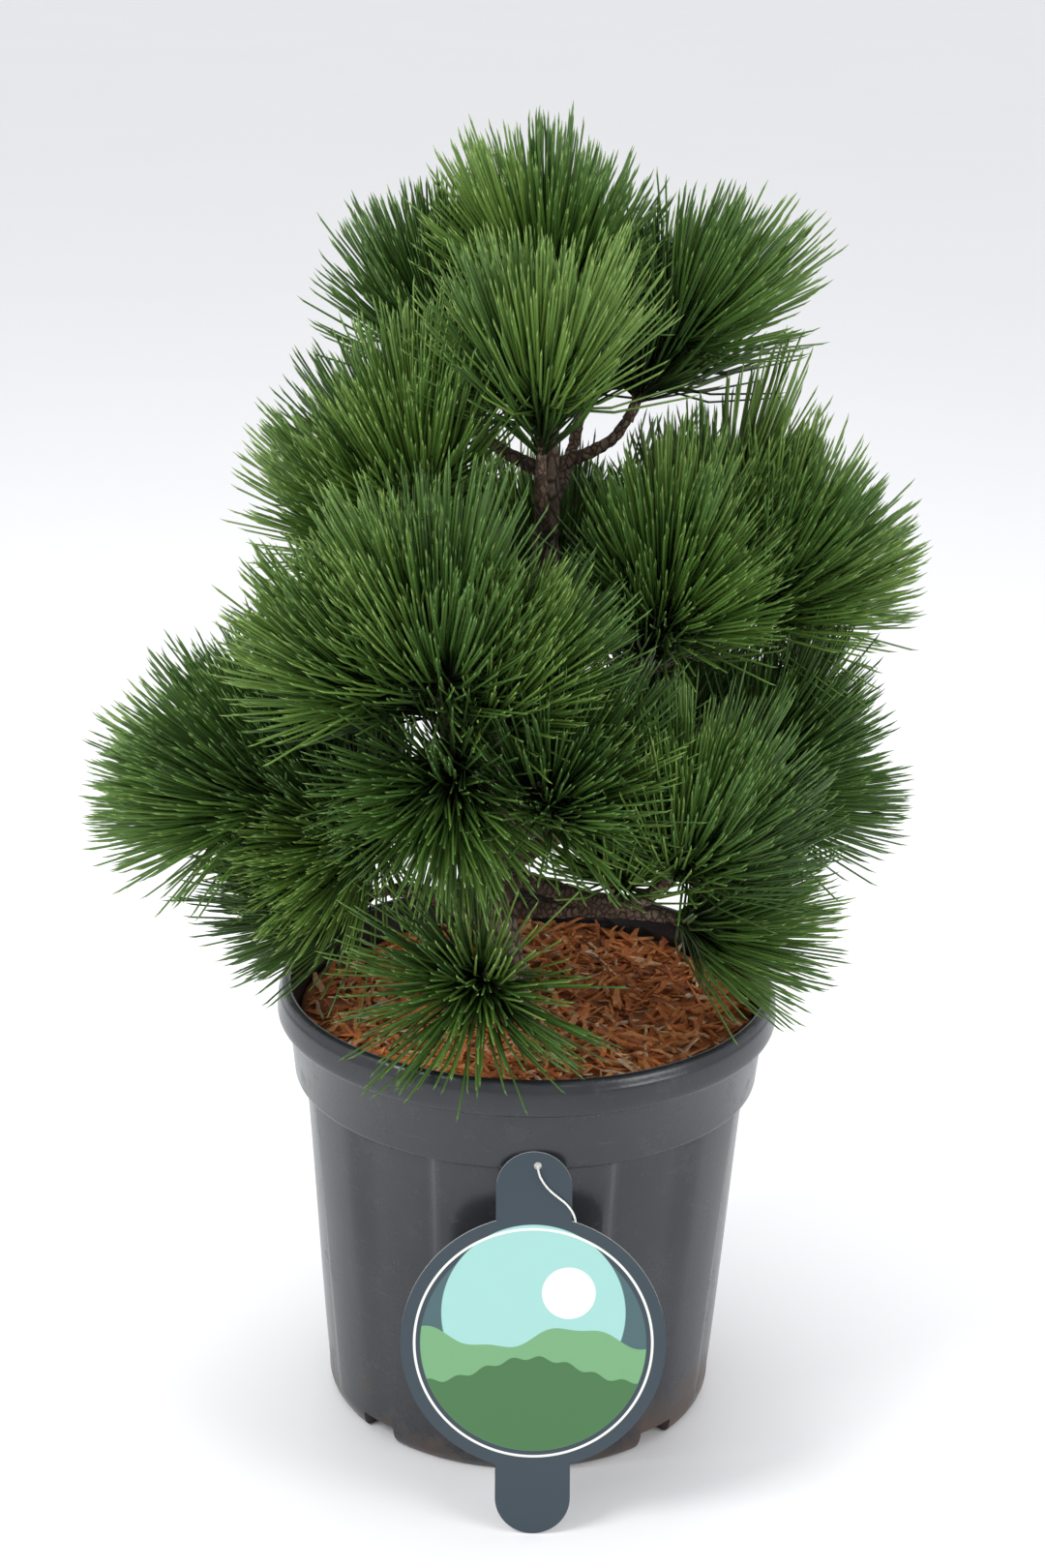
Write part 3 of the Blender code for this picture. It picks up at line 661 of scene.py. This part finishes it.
def scatterTree(chips, finish):
    tree = bpy.data.node_groups.new("scatter_shreds", "GeometryNodeTree")
    face = tree.interface
    face.new_socket("Geometry", in_out="OUTPUT", socket_type="NodeSocketGeometry")
    face.new_socket("Geometry", in_out="INPUT", socket_type="NodeSocketGeometry")
    sockets = {}
    for name in shredPlan:
        kind = "NodeSocketInt" if name == "Seed" else "NodeSocketFloat"
        sockets[name] = face.new_socket(name, in_out="INPUT", socket_type=kind).identifier

    def add(*asked):
        return addNode(tree, *asked)

    def drawn(low, high, seed, kind="FLOAT"):
        # A random value for each shred
        first = 2 if kind == "FLOAT" else 0
        made = add("FunctionNodeRandomValue", dict(data_type=kind),
                   {first: low, first + 1: high, "Seed": seed})
        return made.outputs[first // 2]

    given = add("NodeGroupInput", {}, {}).outputs
    spread = add("GeometryNodeDistributePointsOnFaces", dict(distribute_method="POISSON"),
                 {"Mesh": given["Geometry"], "Distance Min": given["Spacing"],
                  "Density Max": given["Density"], "Seed": given["Seed"]})
    kinds = add("GeometryNodeCollectionInfo", {}, {"Collection": chips, "Separate Children": True,
                                                   "Reset Children": True})
    size = drawn(given["Smallest"], given["Largest"], given["Seed"])
    placed = add("GeometryNodeInstanceOnPoints", {},
                 {"Points": spread.outputs["Points"], "Instance": kinds.outputs[0], "Pick Instance": True,
                  "Rotation": spread.outputs["Rotation"], "Scale": size})
    most = add("ShaderNodeCombineXYZ", {}, {"X": given["Tilt"], "Y": given["Tilt"], "Z": math.pi})
    least = add("ShaderNodeVectorMath", dict(operation="SCALE"), {0: most.outputs[0], "Scale": -1.0})
    lean = drawn(least.outputs[0], most.outputs[0], 3, "FLOAT_VECTOR")
    turned = add("GeometryNodeRotateInstances", {}, {"Instances": placed.outputs[0], "Rotation": lean})
    up = add("ShaderNodeCombineXYZ", {}, {"Z": drawn(0.0, given["Lift"], 5)})
    lifted = add("GeometryNodeTranslateInstances", {},
                 {"Instances": turned.outputs[0], "Translation": up.outputs[0], "Local Space": False})
    stored = add("GeometryNodeStoreNamedAttribute", dict(data_type="FLOAT", domain="INSTANCE"),
                 {"Geometry": lifted.outputs[0], "Name": "tint", "Value": drawn(0.0, 1.0, 9)})
    solid = add("GeometryNodeRealizeInstances", {}, {"Geometry": stored.outputs[0]})
    painted = add("GeometryNodeSetMaterial", {}, {"Geometry": solid.outputs[0], "Material": finish})
    add("NodeGroupOutput", {}, {0: painted.outputs[0]})
    return tree, sockets


def makeMulch():
    plan = mulchPlan
    rings, sides, edge = plan["rings"], plan["sides"], plan["edge"]
    turns = [360.0 * side / sides for side in range(sides)]

    def disc(outer):
        return [mulchPoint(turn, outer * ring / rings) for ring in range(1, rings + 1) for turn in turns]

    points = [mulchPoint(0.0, 0.0)] + disc(edge)
    points += [polar(turn, edge - 0.002, plan["level"] - plan["depth"]) for turn in turns]
    faces = ringFaces(rings + 1, sides, 1)
    faces += [(0, 1 + side, 1 + (side + 1) % sides) for side in range(sides)]
    faces.append(tuple(1 + rings * sides + side for side in range(sides)))
    finish = mulchFinish("mulch_bed_finish", False)
    settle(addMesh("mulch_bed", points, faces, [finish]), ["mulch"])

    carrier = addMesh("mulch_shreds", disc(edge - plan["bare"]), ringFaces(rings, sides), [])
    chance = random.Random(plan["seed"])
    chips = bpy.data.collections.new("shreds")
    shreds = [makeShred("shred_%d" % number, chance) for number in range(plan["kinds"])]
    for shred in shreds:
        chips.objects.link(shred)
    tree, sockets = scatterTree(chips, mulchFinish("mulch_shred_finish", True))
    modifier = carrier.modifiers.new("shreds", "NODES")
    modifier.node_group = tree
    for name, value in shredPlan.items():
        modifier[sockets[name]] = value
    plain = makePlain(carrier)
    for shred in shreds:
        bpy.data.objects.remove(shred, do_unlink=True)
    print("shred faces", len(plain.polygons))
    settle(carrier)


makeMulch()
print("mulch made")


# Trunk and boughs

trunkPlan = dict(
    # Height, x, y and radius at each station, from the mulch to the leader
    stations=((0.2483, -0.013, 0.0, 0.0175), (0.258, -0.013, 0.0, 0.015),
              (0.268, -0.014, 0.0, 0.0165), (0.28, -0.016, 0.0, 0.0145),
              (0.3, -0.019, 0.001, 0.0128), (0.348, -0.018, 0.004, 0.0122),
              (0.413, -0.009, 0.01, 0.0108), (0.488, 0.002, 0.018, 0.009),
              (0.556, 0.005, 0.025, 0.007), (0.612, 0.004, 0.029, 0.0054), (0.64, 0.003, 0.03, 0.0046)),
    step=0.03, sunk=0.008, spread=1.1, fine=0.0022, sides=40, relief=0.0011, plates=95.0, flare=0.0)
boughPlan = dict(steps=5, radius=0.0062, widest=0.66, taper=0.68, flareReach=0.006,
                 fine=0.002, sides=16, relief=0.0007, plates=170.0, flare=0.35)
# Cracks, plates and worn patches of each bark, and how many plates to a metre
barks = dict(
    trunk_bark=((0.07, 0.045, 0.03), (0.25, 0.185, 0.135), (0.4, 0.33, 0.26), 150.0),
    bough_bark=((0.05, 0.03, 0.02), (0.17, 0.105, 0.07), (0.29, 0.21, 0.155), 260.0),
    twig_scales=((0.06, 0.036, 0.024), (0.2, 0.125, 0.085), (0.36, 0.25, 0.19), 420.0),
    bud_scales=((0.19, 0.105, 0.065), (0.42, 0.27, 0.18), (0.6, 0.46, 0.35), 520.0))

# Each mass of needles. One with an end (degrees round from the front, reach, height) has a bough
# of its own, which leaves the trunk at that share of its length. One with a carrier sits on that
# mass's bough at that share. Lean is in degrees from the vertical, and width is half the spread.
crownFields = ("name", "region", "carrier", "share", "end", "lean", "heading", "length", "width")
crownRows = (
    ("leader", "top", "", 1.0, (), 4, -14, 0.128, 0.052),
    ("crown_front", "top", "", 0.74, (1, 0.042, 0.59), 5, -17, 0.122, 0.046),
    ("crown_right", "top", "", 0.84, (124, 0.06, 0.604), 27, 105, 0.131, 0.05),
    ("crown_left", "top", "", 0.83, (-142, 0.073, 0.606), 19, -122, 0.114, 0.052),
    ("crown_back", "top", "", 0.78, (164, 0.081, 0.59), 27, 159, 0.112, 0.048),
    ("left_upper", "left", "", 0.6, (-69, 0.062, 0.545), 16, -69, 0.128, 0.056),
    ("left_side", "left", "left_upper", 0.55, (), 55, -88, 0.15, 0.05),
    ("right_side", "right", "", 0.48, (95, 0.112, 0.492), 53, 93, 0.106, 0.05),
    ("right_back", "right", "right_side", 0.72, (), 24, 118, 0.178, 0.052),
    ("right_front", "right", "right_side", 0.55, (), 38, 18, 0.16, 0.05),
    ("front", "front", "", 0.42, (-27, 0.112, 0.478), 18, -17, 0.107, 0.066),
    ("front_left", "front", "front", 0.8, (), 52, -78, 0.14, 0.056),
    ("front_right", "front", "front", 0.72, (), 40, 55, 0.12, 0.046),
    ("front_low", "front", "front", 0.66, (), 125, -14, 0.1, 0.05),
    ("middle", "front", "", 0.36, (3, 0.082, 0.412), 61, 26, 0.058, 0.042),
    ("left_low", "left", "", 0.26, (-72, 0.139, 0.396), 82, -82, 0.114, 0.056),
    ("left_low_top", "left", "left_low", 0.6, (), 56, -98, 0.14, 0.05),
    ("left_low_front", "left", "left_low", 0.62, (), 100, -46, 0.1, 0.044),
    ("left_bottom", "left", "", 0.14, (-72, 0.086, 0.334), 104, -88, 0.117, 0.036),
    ("right_low", "right", "", 0.22, (44, 0.112, 0.366), 34, 55, 0.099, 0.046),
    ("right_low_front", "right", "right_low", 0.66, (), 22, 14, 0.128, 0.044),
    ("right_low_side", "right_low", "", 0.29, (90, 0.108, 0.392), 70, 99, 0.093, 0.052),
    ("right_bottom", "right_low", "", 0.17, (60, 0.092, 0.33), 99, 87, 0.081, 0.038),
    ("front_bottom", "front", "", 0.1, (-17, 0.088, 0.314), 99, -9, 0.067, 0.04),
    ("back", "back", "", 0.4, (-178, 0.1, 0.452), 55, -179, 0.105, 0.056),
    ("back_right", "back", "back", 0.7, (), 44, 124, 0.18, 0.054),
    ("back_left", "back", "back", 0.62, (), 46, -124, 0.185, 0.056),
    ("back_low_right", "right_low", "", 0.23, (135, 0.093, 0.376), 68, 133, 0.095, 0.052),
    ("back_low_left", "back", "", 0.2, (-131, 0.092, 0.372), 69, -124, 0.104, 0.054),
    ("back_low", "back", "", 0.16, (-176, 0.08, 0.336), 81, -177, 0.087, 0.044),
)
crown = [dict(zip(crownFields, row)) for row in crownRows]
regions = ("top", "left", "right", "right_low", "front", "back")


def boughRoute(start, end, endDirection):
    chord = end - start
    outward = Vector((chord.x, chord.y, 0.55 * chord.z)).normalized()
    second = start + outward * (0.36 * chord.length)
    third = end - endDirection * (0.34 * chord.length)
    parts = [step / boughPlan["steps"] for step in range(boughPlan["steps"] + 1)]
    return [start * (1 - part) ** 3 + second * (3 * part * (1 - part) ** 2)
            + third * (3 * part ** 2 * (1 - part)) + end * part ** 3 for part in parts]


def barkTube(route, radii, plan):
    # Rings along a route with raised bark plates; flare widens the first rings where it joins
    sides, relief, flare = plan["sides"], plan["relief"], plan["flare"]
    points = []
    travelled = 0.0
    for index, (centre, (side, other), radius) in enumerate(zip(route, frames(route), radii)):
        if index:
            travelled += (centre - route[index - 1]).length
        wide = radius * (1.0 + flare * math.exp(-travelled / boughPlan["flareReach"]))
        for step in range(sides):
            out = spun(side, other, 2 * math.pi * step / sides)
            spot = (centre + out * radius) * plan["plates"]
            plate = noise.voronoi(Vector((spot.x, spot.y, spot.z * 0.6)))[0]
            crack = min(1.0, (plate[1] - plate[0]) * 3.0)
            rough = noise.fractal(spot * 1.7, 1.0, 2.0, 3)
            points.append(centre + out * (wide + relief * (crack - 0.6) + 0.4 * relief * rough))
    return points, closedFaces(len(route), sides)


def barkFinish(name):
    dark, mid, pale, scale = barks[name]
    finish = Finish(name, mid, 0.92)
    plates = finish.node("ShaderNodeTexVoronoi", dict(feature="DISTANCE_TO_EDGE"),
                         {"Vector": finish.place((1.0, 1.0, 0.6)), "Scale": scale}).ramp(0.0, 0.22)
    grain = finish.noise(scale * 2.2, detail=7.0, roughness=0.7)
    patch = finish.noise(scale * 0.35, detail=3.0)
    colour = finish.mix(patch.ramp(0.35, 0.65), mid, pale)
    colour = finish.mix(grain.ramp(0.35, 0.75) * 0.6, colour, dark)
    colour = finish.mix(plates, dark, colour)
    finish.set("Base Color", colour)
    finish.bump(plates * 0.6 + grain, 0.8, 0.001)
    return finish.material


def makeLimbs():
    stations = trunkPlan["stations"]
    centres = [Vector((x, y, height)) for height, x, y, radius in stations]
    trunkPoints, trunkRadii = denseRoute(centres, [station[3] for station in stations], trunkPlan["step"])
    route, radii = denseRoute(trunkPoints, trunkRadii, trunkPlan["fine"])
    route.insert(0, route[0] - Vector((0.0, 0.0, trunkPlan["sunk"])))
    radii.insert(0, radii[0] * trunkPlan["spread"])
    tube = barkTube(route, radii, trunkPlan)
    settle(addMesh("pine_trunk", *tube, [barkFinish("trunk_bark")]), ["trunk"])

    plan = boughPlan
    limbs = {}
    points, faces = [], []
    for mass in crown:
        if not mass["end"]:
            continue
        begin, direction, place = alongRoute(trunkPoints, mass["share"])
        below, part = int(place), place % 1.0
        thickness = trunkRadii[below] * (1 - part) + trunkRadii[below + 1] * part
        route = boughRoute(begin, polar(*mass["end"]), heading(mass["lean"], mass["heading"]))
        thick = min(plan["radius"], plan["widest"] * thickness)
        radii = [thick * (1.0 + (plan["taper"] - 1.0) * index / (len(route) - 1))
                 for index in range(len(route))]
        limbs[mass["name"]] = route
        joinOn(points, faces, *barkTube(*denseRoute(route, radii, plan["fine"]), plan))
    boughs = addMesh("pine_boughs", points, faces, [barkFinish("bough_bark")])
    settle(boughs, ["bough_" + name for name in limbs])
    return trunkPoints[-1], limbs


trunkTop, limbs = makeLimbs()
print("trunk and boughs made")


# Needles, twigs and buds

needlePlan = dict(
    length=0.086, lengths=(0.8, 1.06), radius=0.00092, perShoot=165, seed=23,
    # Degrees from the twig, low on it and at its tip, and how far a needle closes up again
    lowLean=52.0, tipLean=9.0, leanLoose=8.0, forward=20.0, upward=0.34, spiral=137.5,
    # Needles that the box cuts shorter than this share are left out, and those that would lie in the pot
    shortest=0.55, bedClear=0.262, rimClear=0.272, lowest=0.225, rimInside=0.13, rimOutside=0.158,
    places=(0.0, 0.42, 0.94, 1.0), sizes=(0.85, 1.0, 0.72), proudShare=0.02, proud=0.004,
    deadShare=0.035, deadEvery=5,
    # How full the thinner masses are
    sparse=dict(front_bottom=0.42, left_bottom=0.6, right_bottom=0.6, middle=0.6, front_low=0.6,
                right_low_front=0.75),
    # From the shaded base of a needle to its sunlit tip; each spray takes three in a row
    greens=((0.03, 0.062, 0.014), (0.046, 0.102, 0.019), (0.07, 0.15, 0.026), (0.1, 0.198, 0.034),
            (0.14, 0.25, 0.045), (0.195, 0.305, 0.065), (0.27, 0.37, 0.1)),
    dead=(0.24, 0.075, 0.03))
shootPlan = dict(
    count=6, leadShort=0.07, leadLeast=0.022, leadShare=1.15, leadRise=0.05, loose=0.35,
    spread=(26, 44), begin=(0.05, 0.75), longest=0.045, widthShare=0.4, extra=(0.004, 0.014),
    share=(0.7, 1.0), rise=(0.05, 0.25))
twigPlan = dict(radius=0.0026, tip=0.0019, leadWide=1.25, sideWide=0.85,
                fine=0.0022, sides=8, relief=0.0006, plates=330.0, flare=0.0)
budPlan = dict(
    leadCounts=(1, 1, 2, 3), leadLong=(0.012, 0.026), sideLong=(0.006, 0.012), wide=(0.0021, 0.0028),
    lean=(18, 34), sunk=0.001, rings=9, sides=8, scaleOut=0.16, scaleIn=-0.08)


def unit(vectors):
    return vectors / np.linalg.norm(vectors, axis=1, keepdims=True)


def swung(first, second, angles):
    return first * np.cos(angles)[:, None] + second * np.sin(angles)[:, None]


def needleMaterials():
    made = [Finish("needle_green_%d" % number, colour, 0.42).material
            for number, colour in enumerate(needlePlan["greens"])]
    return made + [Finish("needle_dead", needlePlan["dead"], 0.6).material]


def shootRoute(start, direction, length, rise, **others):
    # A twig that sets off one way and lifts a little towards its end
    parts = [step / 6 for step in range(7)]
    return [start + direction * (length * part) + Vector((0, 0, rise * length * part * part))
            for part in parts]


def planShoots(chance):
    # A leading shoot up the middle of each mass and side shoots round it
    plan = shootPlan
    shoots = []
    for mass in crown:
        direction = heading(mass["lean"], mass["heading"])
        if mass["end"]:
            foot = limbs[mass["name"]][-1]
        elif mass["carrier"]:
            foot = alongRoute(limbs[mass["carrier"]], mass["share"])[0]
        else:
            foot = trunkTop
        leadLength = max(plan["leadLeast"], mass["length"] - plan["leadShort"])
        side, other = crossAxes(direction)
        shoots.append(dict(mass=mass, start=foot, direction=direction, length=leadLength,
                           share=plan["leadShare"], rise=plan["leadRise"], lead=True))
        first = chance.uniform(0, 2 * math.pi)
        beside = plan["count"] - 1
        for number in range(beside):
            turn = first + number * 2 * math.pi / beside + chance.uniform(-plan["loose"], plan["loose"])
            spread = math.radians(chance.uniform(*plan["spread"]))
            aim = spun(direction, spun(side, other, turn), spread).normalized()
            begin = foot + direction * (leadLength * chance.uniform(*plan["begin"]))
            length = plan["widthShare"] * mass["width"] + chance.uniform(*plan["extra"])
            shoots.append(dict(mass=mass, start=begin, direction=aim, length=min(plan["longest"], length),
                               share=chance.uniform(*plan["share"]), rise=chance.uniform(*plan["rise"]),
                               lead=False))
    return shoots


def sprayNeedles(shoot, dice, box):
    # Corner arrays of one spray: needles spiral up the shoot, wide low down and close at its tip
    plan = needlePlan
    route = shootRoute(**shoot)
    count = int(plan["perShoot"] * shoot["share"] * plan["sparse"].get(shoot["mass"]["name"], 1.0))
    places = np.sort(dice.uniform(0.12, 1.0, count) ** 0.85)
    line = np.array([tuple(point) for point in route])
    steps = np.linspace(0, 1, len(line))

    def onTwig(parts):
        return np.stack([np.interp(parts, steps, line[:, axis]) for axis in range(3)], axis=1)

    base = onTwig(places)
    aim = unit(onTwig(np.minimum(places + 0.05, 1.0)) - onTwig(places - 0.05))
    turn = np.arange(count) * math.radians(plan["spiral"]) + dice.normal(0, 0.25, count)
    lean = plan["lowLean"] + (plan["tipLean"] - plan["lowLean"]) * places ** 1.6
    lean = np.radians(np.clip(lean + dice.normal(0, plan["leanLoose"], count), 3, 85))
    helper = np.where(np.abs(aim[:, 2:3]) < 0.9, [[0.0, 0.0, 1.0]], [[1.0, 0.0, 0.0]])
    side = unit(np.cross(aim, helper))
    other = np.cross(aim, side)
    out = swung(side, other, turn)
    first = swung(aim, out, lean)
    close = lean - np.radians(plan["forward"]) * dice.uniform(0.3, 1.3, count)
    last = unit(swung(aim, out, close) + np.array([[0.0, 0.0, plan["upward"]]]))
    length = plan["length"] * dice.uniform(*plan["lengths"], count)
    base = base + out * 0.0015

    def station(part, size):
        return base + size[:, None] * (first * part + (last - first) * (0.5 * part * part))

    tip = station(1.0, length)
    travel = np.where(np.abs(tip - base) < 1e-6, 1e-6, tip - base)
    scale = np.ones(count)
    for limits, sign in box:
        fits = np.where(sign * (tip - limits) > 0, (limits - base) / travel, 1.0)
        scale = np.minimum(scale, fits.min(axis=1))
    length = length * scale * np.where(scale < 1, dice.uniform(0.92, 1.0, count), 1.0)
    kept = scale > plan["shortest"]
    reach = [station(part, length) for part in plan["places"]]
    for point in reach[1:]:
        height, flat = point[:, 2], np.hypot(point[:, 0], point[:, 1])
        onPot = flat < plan["rimOutside"]
        kept &= ~((height < plan["bedClear"]) & onPot) & (height > plan["lowest"])
        kept &= ~((height < plan["rimClear"]) & onPot & (flat > plan["rimInside"]))
    across = unit(np.cross(first, aim + 0.01))
    over = np.cross(first, across)
    rings = []
    for point, size in zip(reach, plan["sizes"]):
        for corner in range(3):
            rings.append(point + plan["radius"] * size * spun(across, over, 2 * math.pi * corner / 3))
    rings.append(reach[3])
    return np.stack(rings, axis=1)[kept]


def needleFaces():
    # Faces of one needle, and which of its three colours each face takes
    faces, tones = [(0, 2, 1)], [0]
    for row in range(2):
        for a, b, c, d in ringFaces(2, 3, row * 3):
            faces += [(a, b, c), (a, c, d)]
            tones += [row, row]
    for corner in range(3):
        faces.append((6 + corner, 6 + (corner + 1) % 3, 9))
        tones.append(2)
    return np.array(faces), np.array(tones)


def meshFromArrays(name, points, triangles, tones, finishes):
    mesh = bpy.data.meshes.new(name)
    mesh.vertices.add(len(points))
    mesh.vertices.foreach_set("co", points.astype(np.float32).ravel())
    mesh.loops.add(triangles.size)
    mesh.loops.foreach_set("vertex_index", triangles.astype(np.int32).ravel())
    mesh.polygons.add(len(triangles))
    mesh.polygons.foreach_set("loop_start", np.arange(0, triangles.size, 3, dtype=np.int32))
    for finish in finishes:
        mesh.materials.append(finish)
    mesh.polygons.foreach_set("material_index", tones.astype(np.int32))
    mesh.polygons.foreach_set("use_smooth", np.ones(len(triangles), dtype=bool))
    mesh.update(calc_edges=True)
    mesh.validate()
    return addObject(name, mesh)


def makeNeedles(shoots):
    dice = np.random.default_rng(needlePlan["seed"])
    low, high = (np.array(tuple(corner)) for corner in cadBox)
    proud = needlePlan["proudShare"] * (high - low) + needlePlan["proud"]
    box = ((low - proud, -1.0), (high + proud, 1.0))
    finishes = needleMaterials()
    faces, tones = needleFaces()
    for region in regions:
        corners, faceSets, toneSets = [], [], []
        total = 0
        for shoot in shoots:
            if shoot["mass"]["region"] != region:
                continue
            spray = sprayNeedles(shoot, dice, box)
            tint = int(dice.integers(0, 4))
            dead = dice.uniform() < needlePlan["deadShare"] and not shoot["lead"]
            if dead:
                spray = spray[::needlePlan["deadEvery"]]
            count = len(spray)
            if not count:
                continue
            corners.append(spray.reshape(-1, 3))
            starts = total + np.arange(count) * 10
            faceSets.append((faces[None] + starts[:, None, None]).reshape(-1, 3))
            colour = np.full(len(faces), len(finishes) - 1) if dead else tones + tint
            toneSets.append(np.tile(colour, count))
            total += count * 10
        piece = meshFromArrays("needles_on_" + region, np.concatenate(corners), np.concatenate(faceSets),
                               np.concatenate(toneSets), finishes)
        print(region, "needles", total // 10, "triangles", len(piece.data.polygons))
        names = ["needles_" + mass["name"] for mass in crown if mass["region"] == region]
        settle(piece, names)


def makeTwigs(shoots, chance):
    # Scaly twigs under the sprays, and buds and pale candles at their ends
    points, faces = [], []
    budPoints, budFaces = [], []
    for shoot in shoots:
        kind = "lead" if shoot["lead"] else "side"
        route = shootRoute(**shoot)
        wide = twigPlan["radius"] * twigPlan[kind + "Wide"]
        sizes = [wide + (twigPlan["tip"] - wide) * index / 6 for index in range(7)]
        joinOn(points, faces, *barkTube(*denseRoute(route, sizes, twigPlan["fine"]), twigPlan))
        along = (route[-1] - route[-2]).normalized()
        side, other = crossAxes(along)
        count = chance.choice(budPlan["leadCounts"]) if shoot["lead"] else 1
        for number in range(count):
            turn = chance.uniform(0, 2 * math.pi)
            lean = 0.0 if number == 0 else math.radians(chance.uniform(*budPlan["lean"]))
            aim = spun(along, spun(side, other, turn), lean)
            long = chance.uniform(*budPlan[kind + "Long"])
            wideBud = chance.uniform(*budPlan["wide"])
            joinOn(budPoints, budFaces, *bud(route[-1] - along * budPlan["sunk"], aim, long, wideBud))
    settle(addMesh("pine_twigs", points, faces, [barkFinish("twig_scales")]))
    settle(addMesh("pine_buds", budPoints, budFaces, [barkFinish("bud_scales")]))


def bud(start, aim, long, wide):
    side, other = crossAxes(aim)
    rings, sides = budPlan["rings"], budPlan["sides"]
    points = []
    for ring in range(rings):
        part = ring / (rings - 1)
        swell = math.sin(math.pi * (0.12 + 0.86 * part)) ** 0.6
        scaly = 1.0 + budPlan["scaleOut" if ring % 2 else "scaleIn"]
        for step in range(sides):
            out = spun(side, other, 2 * math.pi * (step + 0.5 * (ring % 2)) / sides)
            points.append(start + aim * (long * part) + out * (wide * swell * scaly))
    return points, closedFaces(rings, sides)


shoots = planShoots(random.Random(needlePlan["seed"]))
makeTwigs(shoots, random.Random(needlePlan["seed"] + 1))
makeNeedles(shoots)
print("needles made")


# Floor and light

studioPlan = dict(
    floor=((0.9, 0.9, 0.91), (0.93, 0.93, 0.94)), reach=16.0, world=(0.97, 0.98, 1.0), worldStrength=0.88,
    # Name, place, aim, width and power
    lights=(("window", (-1.7, -1.1, 2.0), (0.0, 0.0, 0.4), 0.9, 34.0),
            ("fill", (1.8, -1.2, 1.3), (0.0, 0.0, 0.3), 1.0, 16.0),
            ("top", (0.0, 0.4, 2.4), (0.0, 0.0, 0.3), 1.4, 17.0)))


def addLight(name, place, aim, size, power):
    data = bpy.data.lights.new(name, "AREA")
    data.size = size
    data.energy = power
    light = addObject(name, data)
    turn = (Vector(aim) - Vector(place)).to_track_quat("-Z", "Y").to_matrix().to_4x4()
    light.matrix_world = Matrix.Translation(place) @ turn


def makeStudio():
    floor = Finish("studio_floor", (0.92, 0.92, 0.93), 0.45)
    floor.set("Base Color", floor.mix(floor.noise(2.0), *studioPlan["floor"]))
    reach = studioPlan["reach"]
    points = [(x * reach, y * reach, 0.0) for x, y in ((-1, -1), (1, -1), (1, 1), (-1, 1))]
    addMesh("studio_floor", points, [(0, 1, 2, 3)], [floor.material])
    world = bpy.data.worlds.new("studio")
    world.use_nodes = True
    shade = world.node_tree.nodes["Background"]
    shade.inputs["Color"].default_value = (*studioPlan["world"], 1.0)
    shade.inputs["Strength"].default_value = studioPlan["worldStrength"]
    scene.world = world
    scene.view_settings.view_transform = "Standard"
    for light in studioPlan["lights"]:
        addLight(*light)


makeStudio()
print("studio made")
